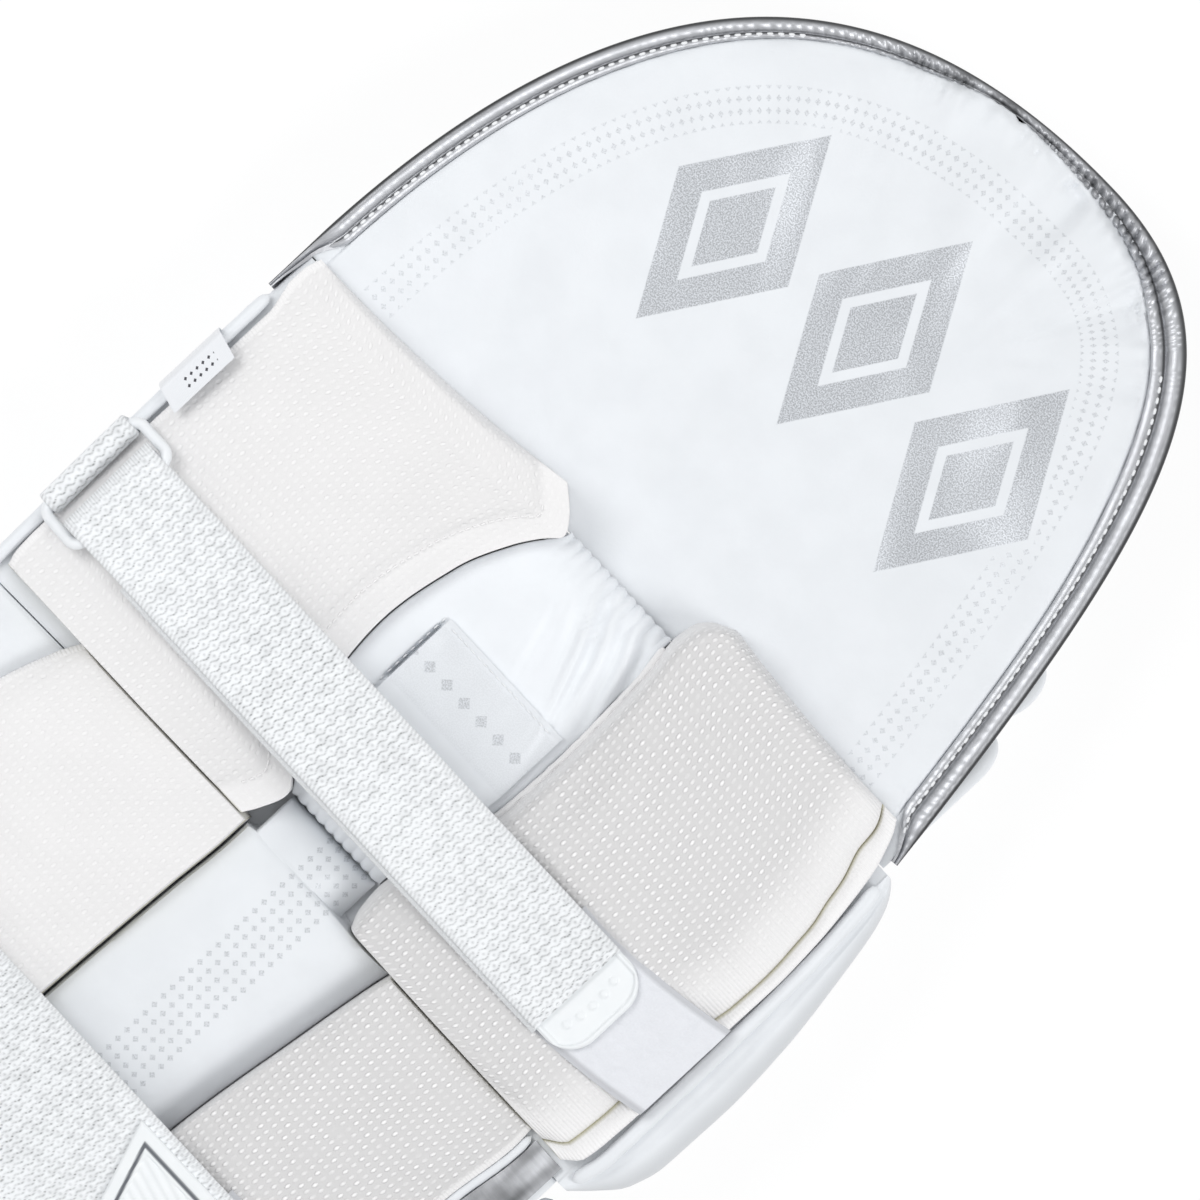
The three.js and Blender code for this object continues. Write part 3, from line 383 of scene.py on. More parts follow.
# The shell's surfaces
def inner_at(x, y):
    return along(TROUGH, "core", y) + along(TROUGH, "rise", y) * (x / HALF_WIDTH) ** 2


def front_at(x, y):
    return np.maximum(0, inner_at(x, y) - along(TROUGH, "depth", y))


def shell_top_at(x, y):
    edge = np.minimum(x - along(TROUGH, "left", y), along(TROUGH, "right", y) - x)
    return inner_at(x, y) - SHOULDER_DROP * (1 - roll(np.maximum(0, edge), SHOULDER))


def instep_at(x):
    return PAD_FOOT + INSTEP_RISE * (1 - np.minimum(np.abs(x) / INSTEP_HALF, 1) ** 2)


def crown_at(bolster, x, y):
    edges = bolster["edges"]["y"]
    share = (y - edges[0]) / (edges[-1] - edges[0])
    aside = (x - bolster["middle"]) / CROWN_HALF
    top = lerp(bolster["foot_top"], bolster["head_top"], share)
    return top - bolster["fall"] * aside**2 - bolster["bow"] * (2 * share - 1) ** 2


# Meshes
def place(points):
    """Points in millimetres, from the line of the leg, as metres in the row frame."""
    return (np.asarray(points, float) + (LEG_LINE, 0, 0)) * MM


def stack(x, y, z):
    return np.stack(np.broadcast_arrays(x, y, z), axis=-1).astype(float)


def arc_uv(points):
    """Lengths along the rows and columns of a grid of points, from its middle, in metres."""
    over = np.linalg.norm(np.diff(points, axis=1), axis=2)
    up = np.linalg.norm(np.diff(points, axis=0), axis=2)
    u = np.concatenate([np.zeros((len(points), 1)), np.cumsum(over, axis=1)], axis=1)
    v = np.concatenate([np.zeros((1, points.shape[1])), np.cumsum(up, axis=0)], axis=0)
    u -= u[:, points.shape[1] // 2][:, None]
    v -= v[len(points) // 2][None, :]
    return np.stack([u, v], axis=-1) * MM


def quads_of(rows, columns, wrap_rows=False, wrap_columns=False):
    row = np.arange(rows if wrap_rows else rows - 1)[:, None]
    column = np.arange(columns if wrap_columns else columns - 1)[None, :]
    row, column = np.broadcast_arrays(row, column)
    next_row = (row + 1) % rows
    next_column = (column + 1) % columns
    corners = [(row, column), (row, next_column), (next_row, next_column), (next_row, column)]
    return np.stack([r * columns + c for r, c in corners], axis=-1).reshape(-1, 4)


def new_object(name, points, faces, material, corner_uv=None, values=None, extra_uv=None):
    """A shown mesh that rides on the pad, from points in millimetres and lists of corners."""
    mesh = bpy.data.meshes.new(name)
    mesh.from_pydata(place(points).tolist(), [], faces)
    mesh.validate()
    for map_name, uv in {"UVMap": corner_uv, **(extra_uv or {})}.items():
        if uv is not None:
            layer = mesh.uv_layers.new(name=map_name)
            layer.data.foreach_set("uv", np.asarray(uv, np.float32).ravel())
    for value_name, value in (values or {}).items():
        attribute = mesh.attributes.new(value_name, "FLOAT", "POINT")
        attribute.data.foreach_set("value", np.asarray(value, np.float32).ravel())
    mesh.shade_smooth()
    mesh.set_sharp_from_angle(angle=math.radians(55))
    mesh.materials.append(material)
    piece = bpy.data.objects.new(name, mesh)
    bpy.context.scene.collection.objects.link(piece)
    return piece


def rim_of(grid):
    """The outer ring of a grid, once round."""
    return np.concatenate([grid[0, :-1], grid[:-1, -1], grid[-1, :0:-1], grid[:0:-1, 0]])


def picked(count, step):
    """Every few places of a line with its last, and for each place the pick that serves it."""
    picks = np.unique(np.append(np.arange(0, count, step), count - 1))
    return picks, np.abs(picks[None, :] - np.arange(count)[:, None]).argmin(axis=1)


def slab(name, x, y, high, low, material, values=None, maps=None, below=1):
    """A padded panel: an upper skin, a lower skin over every few of its points, and a wall at its rim."""
    top = stack(x, y, high)
    rows, columns = top.shape[:2]
    skin = rows * columns
    row_picks, row_serves = picked(rows, below)
    column_picks, column_serves = picked(columns, below)
    kept = np.ix_(row_picks, column_picks)
    bottom = stack(x, y, low)[kept]
    low_skin = len(row_picks) * len(column_picks)
    rim = rim_of(np.arange(skin).reshape(rows, columns))
    low_rim = rim_of(skin + row_serves[:, None] * len(column_picks) + column_serves[None, :])
    faces = quads_of(rows, columns).tolist()
    faces += (quads_of(len(row_picks), len(column_picks))[:, ::-1] + skin).tolist()
    for corner in zip(low_rim, np.roll(low_rim, -1), np.roll(rim, -1), rim):
        faces.append([int(point) for point in dict.fromkeys(corner)])
    corners = np.concatenate(faces)

    def both(field):
        """A value of the grid's points, for both skins."""
        field = np.broadcast_to(field, (rows, columns) + np.shape(field)[2:])
        return np.concatenate([field.reshape(skin, -1), field[kept].reshape(low_skin, -1)])

    shared = {"UVMap": arc_uv(top), **(maps or {})}
    corner_uv = {key: both(uv)[corners] for key, uv in shared.items()}
    doubled = {key: both(value) for key, value in (values or {}).items()}
    points = np.concatenate([top.reshape(-1, 3), bottom.reshape(-1, 3)])
    first = corner_uv.pop("UVMap")
    return new_object(name, points, faces, material, first, doubled, corner_uv)


def coarse_spots(line):
    """Places in a line of points that are about one step apart, with the first and the last."""
    run = run_along(line)
    wanted = np.linspace(0, run[-1], int(run[-1] / PUFF_STEP) + 1)
    return np.unique(np.clip(np.searchsorted(run, wanted), 0, len(run) - 1))


def softened(field, passes=3):
    """A grid of values with its kinks smoothed away and its rim kept."""
    for _ in range(passes):
        for axis in (0, 1):
            field = np.swapaxes(field, 0, axis)
            field[1:-1] = (field[:-2] + 2 * field[1:-1] + field[2:]) / 4
            field = np.swapaxes(field, 0, axis)
    return field


def puffed(x, y, high, low, cap):
    """How far a filled cover rises as its filling blows it out, from a cloth simulation on a coarse grid."""
    full = stack(x, y, high)
    rows = coarse_spots(full[:, full.shape[1] // 2])
    columns = coarse_spots(full[full.shape[0] // 2])
    pick = np.ix_(rows, columns)
    start = lerp(low, high, PUFF_START)
    cover = slab("cover", x[pick], y[pick], start[pick], low[pick], None)
    count = len(rows) * len(columns)
    inside = np.zeros((len(rows), len(columns)), bool)
    inside[1:-1, 1:-1] = True
    held = np.concatenate([np.flatnonzero(~inside.ravel()), count + np.arange(count)])
    group = cover.vertex_groups.new(name="sewn")
    group.add(held.tolist(), 1.0, "REPLACE")
    cloth = cover.modifiers.new("filling", "CLOTH")
    cloth.settings.vertex_group_mass = group.name
    cloth.settings.quality = 6
    cloth.settings.tension_stiffness = 15
    cloth.settings.compression_stiffness = 15
    cloth.settings.bending_stiffness = 0.5
    cloth.settings.shrink_min = -PUFF_SLACK
    cloth.settings.use_pressure = True
    cloth.settings.uniform_pressure_force = PUFF_PRESSURE
    cloth.settings.effector_weights.gravity = 0
    cloth.collision_settings.use_collision = False
    for tick in range(1, PUFF_TICKS + 1):
        bpy.context.scene.frame_set(tick)
    blown = cover.evaluated_get(bpy.context.evaluated_depsgraph_get()).data
    spots = np.empty(3 * len(blown.vertices))
    blown.vertices.foreach_get("co", spots)
    risen = spots.reshape(-1, 3)[:count, 2].reshape(len(rows), len(columns)) / MM - high[pick]
    risen = np.clip(risen, -cap, cap)
    mesh = cover.data
    bpy.data.objects.remove(cover)
    bpy.data.meshes.remove(mesh)
    bpy.context.scene.frame_set(1)
    wide = np.stack([np.interp(np.arange(x.shape[1]), columns, line) for line in risen])
    fine = np.stack([np.interp(np.arange(x.shape[0]), rows, line) for line in wide.T], axis=-1)
    return softened(fine, 8)


def loops_object(name, loops, material, ring=False, values=None):
    """A solid through closed loops of points: capped at both ends, or joined end to end."""
    count, sides = loops.shape[:2]
    quads = quads_of(count, sides, wrap_rows=ring, wrap_columns=True)
    closed = np.concatenate([loops, loops[:, :1]], axis=1)
    around = np.linalg.norm(np.diff(closed, axis=1), axis=2).cumsum(axis=1)
    around = np.concatenate([np.zeros((count, 1)), around], axis=1)
    middle = loops.mean(axis=1)
    run = run_along(middle)
    row = quads // sides
    column = quads % sides
    column[:, 1:3] = np.where(column[:, 1:3] == 0, sides, column[:, 1:3])
    uv = np.stack([run[row], around[row, column]], axis=-1) * MM
    faces = quads.tolist()
    corner_uv = uv.reshape(-1, 2)
    if not ring:
        last = (count - 1) * sides
        faces += [list(range(sides))[::-1], list(range(last, last + sides))]
        corner_uv = np.concatenate([corner_uv, np.zeros((2 * sides, 2))])
    return new_object(name, loops.reshape(-1, 3), faces, material, corner_uv, values)


def frames_along(line, up=(0, 0, 1)):
    """Directions along a line, to its side and upwards, at each of its points."""
    forward = np.gradient(line, axis=0)
    forward /= np.linalg.norm(forward, axis=1)[:, None]
    side = np.cross(forward, up)
    side /= np.linalg.norm(side, axis=1)[:, None]
    return forward, side, np.cross(side, forward)


def spaced(line, count):
    """Points evenly spaced along a line of points."""
    line = np.asarray(line, float)
    run = run_along(line)
    spots = np.linspace(0, run[-1], count)
    return np.stack([np.interp(spots, run, line[:, axis]) for axis in range(line.shape[1])], axis=-1)


def smooth_line(knots, count):
    """A smooth curve through knots, as evenly spaced points."""
    knots = np.asarray(knots, float)
    ends = np.concatenate([2 * knots[:1] - knots[1:2], knots, 2 * knots[-1:] - knots[-2:-1]])
    t = np.linspace(0, 1, 24, endpoint=False)[:, None]
    pieces = []
    for a, b, c, d in zip(ends, ends[1:], ends[2:], ends[3:]):
        curve = 2 * b + (c - a) * t + (2 * a - 5 * b + 4 * c - d) * t**2 + (3 * b - a - 3 * c + d) * t**3
        pieces.append(curve / 2)
    return spaced(np.concatenate([*pieces, knots[-1:]]), count)


def cord(name, line, radius, material, sides=14, ripple=0.0, seed=1):
    """A round cord along a line of points, with small uneven puckers."""
    line = np.asarray(line, float)
    _, side, up = frames_along(line)
    angle = np.linspace(0, 2 * math.pi, sides, endpoint=False)
    run = run_along(line)
    tucked = 0.1 + 0.9 * roll(np.minimum(run, run[-1] - run), 3 * radius)
    swell = radius * tucked[:, None] * (1 + ripple * hills(run[:, None], 6 * angle[None, :], 2.2, seed))
    loops = line[:, None] + swell[..., None] * (
        np.cos(angle)[None, :, None] * side[:, None] + np.sin(angle)[None, :, None] * up[:, None]
    )
    return loops_object(name, loops, material)


def stitches(name, line, material, pitch=3.0, length=2.1, width=0.5, lift=0.1, sink=0.25):
    """A row of thread stitches along a line of points on a surface."""
    total = line_length(line)
    fine = spaced(line, max(8, int(total / 0.5)))
    _, side, up = frames_along(fine)
    run = np.linspace(0, total, len(fine))
    starts = np.arange(pitch / 2, total - length, pitch)
    rings, sides = 7, 6
    share = np.linspace(0, 1, rings)
    thick = np.sqrt(np.clip(1 - (2 * share - 1) ** 4, 0.02, 1)) * width / 2
    arch = lift - sink * (2 * share - 1) ** 4
    angle = np.linspace(0, 2 * math.pi, sides, endpoint=False)
    points = []
    faces = []
    corners = rings * sides
    block = quads_of(rings, sides, wrap_columns=True).tolist()
    block += [list(range(sides))[::-1], list(range(corners - sides, corners))]
    for number, start in enumerate(starts):
        spots = start + share * length
        at = np.stack([np.interp(spots, run, fine[:, axis]) for axis in range(3)], axis=-1)
        near = np.clip(np.searchsorted(run, spots), 0, len(run) - 1)
        ring = at[:, None] + (arch[:, None] + thick[:, None] * np.sin(angle))[..., None] * up[near][:, None]
        ring = ring + (thick[:, None] * np.cos(angle))[..., None] * side[near][:, None]
        points.append(ring.reshape(-1, 3))
        faces += [[corner + corners * number for corner in face] for face in block]
    return new_object(name, np.concatenate(points), faces, material)


# Materials
def wire(tree, kind, settings=(), inputs=()):
    """A node with its settings made and its inputs set or linked."""
    node = tree.nodes.new(kind)
    for key, value in dict(settings).items():
        setattr(node, key, value)
    for key, value in dict(inputs).items():
        if isinstance(value, bpy.types.NodeSocket):
            tree.links.new(value, node.inputs[key])
        else:
            node.inputs[key].default_value = value
    return node


def maths(tree, operation, *terms):
    node = wire(tree, "ShaderNodeMath", {"operation": operation}, dict(enumerate(terms)))
    return node.outputs[0]


def mixed(tree, factor, a, b):
    node = wire(tree, "ShaderNodeMix", {"data_type": "RGBA"}, {0: factor, 6: a, 7: b})
    return node.outputs[2]


def noise_of(tree, vector, scale, detail=2.0, rough=0.5):
    inputs = {"Vector": vector, "Scale": scale, "Detail": detail, "Roughness": rough}
    return wire(tree, "ShaderNodeTexNoise", (), inputs).outputs[0]


def ramp_of(tree, value, low, high):
    inputs = {"Value": value, "From Min": low, "From Max": high}
    return wire(tree, "ShaderNodeMapRange", {"interpolation_type": "SMOOTHSTEP"}, inputs).outputs[0]


def relief(tree, shader, height, distance, strength=1.0, under=None):
    inputs = {"Height": height, "Distance": distance, "Strength": strength}
    if under is not None:
        inputs["Normal"] = under
    bump = wire(tree, "ShaderNodeBump", (), inputs)
    tree.links.new(bump.outputs[0], shader.inputs["Normal"])
    return bump.outputs[0]


def shade(colour, share):
    return (colour[0] * share, colour[1] * share, colour[2] * share, 1.0)


def new_material(name, roughness, **sockets):
    material = bpy.data.materials.new(name)
    material.use_nodes = True
    tree = material.node_tree
    shader = tree.nodes["Principled BSDF"]
    shader.inputs["Roughness"].default_value = roughness
    for key, value in sockets.items():
        shader.inputs[key.replace("_", " ")].default_value = value
    return material, tree, shader


def surface_map(tree, name="UVMap"):
    return wire(tree, "ShaderNodeUVMap", {"uv_map": name}).outputs[0]


def split(tree, vector):
    node = wire(tree, "ShaderNodeSeparateXYZ", (), {0: vector})
    return node.outputs[0], node.outputs[1]


def painted(tree, name):
    """A value that the mesh holds at its points."""
    return wire(tree, "ShaderNodeAttribute", {"attribute_name": name}).outputs["Fac"]


def leather_grain(tree, shader, uv, depth=0.00006):
    """Pebbled grain with soft creases, as a coated leather has."""
    cells = wire(tree, "ShaderNodeTexVoronoi", {"feature": "SMOOTH_F1"}, {"Vector": uv, "Scale": 900.0})
    soft = noise_of(tree, uv, 55.0, 3.0)
    fine = noise_of(tree, uv, 2600.0, 2.0)
    height = maths(tree, "ADD", maths(tree, "MULTIPLY", cells.outputs[0], 0.7), fine)
    creases = relief(tree, shader, soft, 0.0006, 0.35)
    relief(tree, shader, height, depth, 0.5, creases)
    return soft


def patchy_white(tree, looks, soft, whiteness=1.0):
    """The leather's white, a little duller in soft patches."""
    patchy = ramp_of(tree, soft, 0.3, 0.7)
    colour = looks.leather_colour
    return mixed(tree, patchy, shade(colour, 0.965 * whiteness), shade(colour, whiteness))


def white_leather(looks, name="white leather", whiteness=1.0):
    """Coated leather, with painted shade where a piece marks it, as where it turns under an outer edge."""
    material, tree, shader = new_material(name, 0.42, Specular_IOR_Level=0.4, Sheen_Weight=0.08)
    uv = surface_map(tree)
    soft = leather_grain(tree, shader, uv)
    white = patchy_white(tree, looks, soft, whiteness)
    # Colour of the painted shade
    grey = shade(looks.leather_colour, 0.72)
    tree.links.new(mixed(tree, painted(tree, "under"), white, grey), shader.inputs["Base Color"])
    tree.links.new(maths(tree, "MULTIPLY_ADD", soft, 0.16, 0.36), shader.inputs["Roughness"])
    return material


def cup_leather(looks):
    """The knee cup's leather, a little whiter than the rest."""
    return white_leather(looks, "cup leather", 1.06)


def print_grain(tree, uv):
    """Sparkle of a silver print: 0 to 1 over grains half a millimetre wide."""
    return noise_of(tree, uv, 2000.0, 1.0)


def printed(tree, shader, looks, uv, mask, soft):
    """Lays a silver-grey print on white leather where the mask is 1."""
    white = patchy_white(tree, looks, soft)
    sparkle = ramp_of(tree, print_grain(tree, uv), 0.35, 0.65)
    grey = mixed(tree, sparkle, shade(looks.print_colour, 0.72), shade(looks.print_colour, 1.22))
    tree.links.new(mixed(tree, mask, white, grey), shader.inputs["Base Color"])
    tree.links.new(maths(tree, "MULTIPLY", mask, 0.35), shader.inputs["Metallic"])
    tree.links.new(maths(tree, "MULTIPLY_ADD", soft, 0.16, 0.40), shader.inputs["Roughness"])


def window(tree, value, low, high, soft):
    """1 between two values and 0 outside them."""
    rise = ramp_of(tree, value, low - soft, low + soft)
    fall = ramp_of(tree, value, high + soft, high - soft)
    return maths(tree, "MULTIPLY", rise, fall)


def scaled(tree, value, pitch):
    return maths(tree, "DIVIDE", value, pitch)


def lattice(tree, u, v, pitch, size):
    """A lattice of small diamonds, 1 inside them."""
    aside = [
        maths(tree, "ABSOLUTE", maths(tree, "SUBTRACT", maths(tree, "FRACT", scaled(tree, axis, pitch)), 0.5))
        for axis in (u, v)
    ]
    return ramp_of(tree, maths(tree, "ADD", *aside), size + 0.05, size - 0.05)


def flap_leather(looks):
    """White lining with three silver lozenges, and a border of small diamonds along the flap's edge."""
    material, tree, shader = new_material("printed flap leather", 0.42, Specular_IOR_Level=0.4)
    uv = surface_map(tree)
    soft = leather_grain(tree, shader, uv)
    x, y = split(tree, uv)
    run, inwards = split(tree, surface_map(tree, "arch"))
    strip = window(tree, inwards, 0.022, 0.034, 0.0004)
    border = maths(tree, "MULTIPLY", strip, lattice(tree, run, inwards, 0.004, 0.3))
    mask = maths(tree, "MULTIPLY", border, 0.55)
    for middle_x, middle_y in LOZENGES:
        aside = maths(tree, "ABSOLUTE", maths(tree, "SUBTRACT", x, middle_x))
        above = maths(tree, "ABSOLUTE", maths(tree, "SUBTRACT", y, middle_y))
        aside = scaled(tree, aside, LOZENGE_HALF_WIDTH)
        above = scaled(tree, above, LOZENGE_HALF_HEIGHT)
        far = maths(tree, "ADD", aside, above)
        outside = ramp_of(tree, far, 1.08, 1.12)
        band = window(tree, far, 0.58, 1.0, 0.012)
        heart = ramp_of(tree, far, 0.44, 0.42)
        mask = maths(tree, "MULTIPLY", mask, outside)
        mask = maths(tree, "MAXIMUM", mask, maths(tree, "MAXIMUM", band, heart))
    printed(tree, shader, looks, uv, mask, soft)
    return material


def panel_leather(looks):
    """White leather with a column of silver diamonds down its middle."""
    material, tree, shader = new_material("printed panel leather", 0.42, Specular_IOR_Level=0.4)
    uv = surface_map(tree)
    soft = leather_grain(tree, shader, uv)
    x, y = split(tree, uv)
    strip = window(tree, x, 0.004, 0.024, 0.0004)
    mask = maths(tree, "MULTIPLY", lattice(tree, x, y, 0.004, 0.3), strip)
    printed(tree, shader, looks, uv, maths(tree, "MULTIPLY", mask, 0.6), soft)
    return material


def patch_leather(looks):
    """Light grey panel with a row of silver diamonds."""
    material, tree, shader = new_material("knee patch leather", 0.42, Specular_IOR_Level=0.4)
    uv = surface_map(tree)
    soft = leather_grain(tree, shader, uv)
    x, y = split(tree, uv)
    row = window(tree, y, 0.008, 0.016, 0.0003)
    mask = maths(tree, "MULTIPLY", lattice(tree, x, y, 0.008, 0.32), row)
    tint = maths(tree, "MULTIPLY", window(tree, y, 0.000, 0.0245, 0.0006), 0.16)
    printed(tree, shader, looks, uv, maths(tree, "MAXIMUM", maths(tree, "MULTIPLY", mask, 0.7), tint), soft)
    return material


def cream_mesh(looks):
    """Spacer mesh: strong and weak bumps that take turns, and ribs where it is pulled to a seam; the ground
    between the bumps takes painted shade, the bumps a painted highlight.
    """
    material, tree, shader = new_material("cream mesh", 0.85, Specular_IOR_Level=0.2, Sheen_Weight=0.25)
    uv = surface_map(tree)
    u, v = split(tree, uv)
    pitch = looks.dimple_pitch
    row_pitch = 0.65 * pitch
    rows = maths(tree, "DIVIDE", v, row_pitch)
    odd = maths(tree, "MULTIPLY", maths(tree, "MODULO", maths(tree, "FLOOR", rows), 2.0), 0.5)
    up = maths(tree, "SUBTRACT", maths(tree, "FRACT", rows), 0.5)
    tall = maths(tree, "POWER", maths(tree, "MULTIPLY", up, row_pitch / 0.0014), 2.0)
    bumps = []
    for shift, height in ((0.0, 1.0), (0.5, 0.7)):
        turn = maths(tree, "ADD", maths(tree, "ADD", scaled(tree, u, pitch), odd), shift)
        over = maths(tree, "SUBTRACT", maths(tree, "FRACT", turn), 0.5)
        wide = maths(tree, "POWER", maths(tree, "MULTIPLY", over, pitch / 0.00085), 2.0)
        bump = ramp_of(tree, maths(tree, "ADD", wide, tall), 1.0, 0.0)
        bumps.append(maths(tree, "MULTIPLY", bump, height))
    oval = maths(tree, "MAXIMUM", *bumps)
    dimples_and_shade = painted(tree, "dimples_and_shade")
    ribbed = painted(tree, "ribbed")
    crease_shade = painted(tree, "crease_shade")
    uneven = ramp_of(tree, noise_of(tree, uv, 160.0, 2.0), 0.2, 0.6)
    oval = maths(tree, "MULTIPLY", maths(tree, "MULTIPLY", oval, dimples_and_shade), uneven)
    rib = maths(tree, "SINE", maths(tree, "MULTIPLY", v, 2 * math.pi / 0.0013))
    rib = maths(tree, "MULTIPLY", rib, ribbed)
    knit = noise_of(tree, uv, 1900.0, 2.0, 0.6)
    patchy = ramp_of(tree, noise_of(tree, uv, 40.0, 2.0), 0.3, 0.7)
    plain = mixed(tree, patchy, shade(looks.mesh_colour, 0.97), shade(looks.mesh_colour, 1.0))
    # Painted shade on the ground between the bumps, as strong as the mesh is dimpled
    shaded_ground = mixed(tree, maths(tree, "MULTIPLY", dimples_and_shade, 0.8), plain, shade(looks.mesh_colour, 0.64))
    # Painted highlight on the bumps
    raised = mixed(tree, oval, shaded_ground, shade(looks.mesh_colour, 1.05))
    thread = mixed(tree, maths(tree, "MULTIPLY", knit, 0.22), raised, shade(looks.mesh_colour, 0.7))
    # Painted olive shade in creases and seams
    wear_and_shade = mixed(tree, crease_shade, thread, (0.40, 0.38, 0.24, 1.0))
    tree.links.new(wear_and_shade, shader.inputs["Base Color"])
    height = maths(tree, "ADD", maths(tree, "MULTIPLY", oval, 1.2), maths(tree, "MULTIPLY", knit, 0.3))
    height = maths(tree, "ADD", height, maths(tree, "MULTIPLY", rib, 0.22))
    relief(tree, shader, height, 0.0005, 0.75)
    return material


def silver_leather(looks):
    """Silver foil leather, finely crinkled, with painted highlight streaks on its crinkles and painted shade
    where a piece marks it, as where it turns under the edge.
    """
    material, tree, shader = new_material("silver leather", 0.36, Metallic=0.8)
    uv = surface_map(tree)
    under = painted(tree, "under")
    u, v = split(tree, uv)
    drawn = wire(tree, "ShaderNodeCombineXYZ", (), {0: maths(tree, "MULTIPLY", u, 0.2), 1: v}).outputs[0]
    crinkle = noise_of(tree, drawn, 420.0, 3.0, 0.6)
    # Painted highlight streaks along the drawn-out crinkles
    crest_highlights = ramp_of(tree, crinkle, 0.3, 0.7)
    bright = mixed(tree, crest_highlights, shade(looks.silver_colour, 0.9), shade(looks.silver_colour, 1.12))
    # Painted shade and painted dark reflection, as much as the piece marks under
    tree.links.new(mixed(tree, under, bright, shade(looks.silver_colour, 0.1)), shader.inputs["Base Color"])
    fine = noise_of(tree, uv, 2400.0, 1.0)
    first = relief(tree, shader, crinkle, 0.0005, 0.08)
    relief(tree, shader, fine, 0.0001, 0.2, first)
    tree.links.new(maths(tree, "MULTIPLY_ADD", fine, 0.16, 0.36), shader.inputs["Roughness"])
    return material


def white_webbing(looks):
    """Woven thread: the rings are in the mesh, the threads that make them up are here, with painted shade in
    the furrows between the rings.
    """
    material, tree, shader = new_material("white webbing", 0.75, Specular_IOR_Level=0.25, Sheen_Weight=0.2)
    uv = surface_map(tree)
    u, v = split(tree, uv)
    thread = maths(tree, "SINE", maths(tree, "MULTIPLY", maths(tree, "ADD", u, v), 2 * math.pi / 0.00055))
    fuzz = noise_of(tree, uv, 2800.0, 2.0)
    furrow_shade = painted(tree, "furrow_shade")
    # Painted shade in the furrows between the rings
    tint = mixed(tree, furrow_shade, shade(looks.webbing_colour, 1.0), shade(looks.webbing_colour, 0.16))
    tint = mixed(tree, maths(tree, "MULTIPLY", fuzz, 0.08), tint, shade(looks.webbing_colour, 0.75))
    tree.links.new(tint, shader.inputs["Base Color"])
    height = maths(tree, "ADD", maths(tree, "MULTIPLY", thread, 0.35), fuzz)
    relief(tree, shader, height, 0.00014, 0.6)
    return material


def hook_tape(looks):
    """The rough under side of a strap."""
    material, tree, shader = new_material("hook tape", 0.6, Specular_IOR_Level=0.3)
    uv = surface_map(tree)
    hooks = noise_of(tree, uv, 1500.0, 2.0, 0.7)
    tint = mixed(tree, hooks, shade(looks.webbing_colour, 0.52), shade(looks.webbing_colour, 0.98))
    tree.links.new(tint, shader.inputs["Base Color"])
    relief(tree, shader, hooks, 0.0006, 0.8)
    return material


def loop_pile(looks):
    """Fuzzy loops, flattened in patches."""
    material, tree, shader = new_material("loop pile", 0.95, Specular_IOR_Level=0.15, Sheen_Weight=0.5)
    uv = surface_map(tree)
    curls = noise_of(tree, uv, 1250.0, 4.0, 0.75)
    wear_and_shade = ramp_of(tree, noise_of(tree, uv, 130.0, 3.0), 0.3, 0.7)
    tint = mixed(tree, curls, shade(looks.pile_colour, 0.9), shade(looks.pile_colour, 1.06))
    tint = mixed(tree, maths(tree, "MULTIPLY", wear_and_shade, 0.35), tint, shade(looks.pile_colour, 1.04))
    selvedge = painted(tree, "selvedge")
    tint = mixed(tree, maths(tree, "MULTIPLY", selvedge, 0.7), tint, shade(looks.pile_colour, 0.6))
    tree.links.new(tint, shader.inputs["Base Color"])
    relief(tree, shader, curls, 0.0007, 0.4)
    return material


def white_plastic(looks):
    material, tree, shader = new_material("white plastic", 0.32, Specular_IOR_Level=0.5)
    uv = surface_map(tree)
    skin = noise_of(tree, uv, 300.0, 2.0)
    tint = mixed(tree, skin, (0.80, 0.825, 0.85, 1), (0.88, 0.90, 0.92, 1))
    tree.links.new(tint, shader.inputs["Base Color"])
    tree.links.new(maths(tree, "MULTIPLY_ADD", skin, 0.12, 0.26), shader.inputs["Roughness"])
    relief(tree, shader, skin, 0.0002, 0.15)
    return material


def clear_rubber(looks):
    material, tree, shader = new_material("milky rubber", 0.38, Specular_IOR_Level=0.45, Coat_Weight=0.15)
    uv = surface_map(tree)
    cloud = noise_of(tree, uv, 120.0, 2.0)
    tint = mixed(tree, cloud, (0.82, 0.85, 0.87, 1), (0.90, 0.92, 0.93, 1))
    inlay = painted(tree, "inlay")
    tree.links.new(mixed(tree, inlay, tint, (0.13, 0.14, 0.16, 1)), shader.inputs["Base Color"])
    relief(tree, shader, noise_of(tree, uv, 1800.0, 1.0), 0.00008, 0.3)
    return material


def white_satin(looks):
    material, tree, shader = new_material("white satin", 0.4, Sheen_Weight=0.3, Specular_IOR_Level=0.4)
    uv = surface_map(tree)
    u, v = split(tree, uv)
    thread = maths(tree, "SINE", maths(tree, "MULTIPLY", v, 2 * math.pi / 0.0005))
    shine = maths(tree, "MULTIPLY_ADD", thread, 0.2, 0.3)
    tint = mixed(tree, shine, (0.76, 0.78, 0.81, 1), (0.85, 0.86, 0.89, 1))
    rows = window(tree, u, 0.0205, 0.0255, 0.0001)
    field = maths(tree, "MULTIPLY", rows, window(tree, v, 0.007, 0.021, 0.0001))
    marks = maths(tree, "MULTIPLY", lattice(tree, u, v, 0.0025, 0.26), field)
    tree.links.new(mixed(tree, marks, tint, (0.05, 0.05, 0.06, 1)), shader.inputs["Base Color"])
    relief(tree, shader, thread, 0.00005, 0.4)
    return material


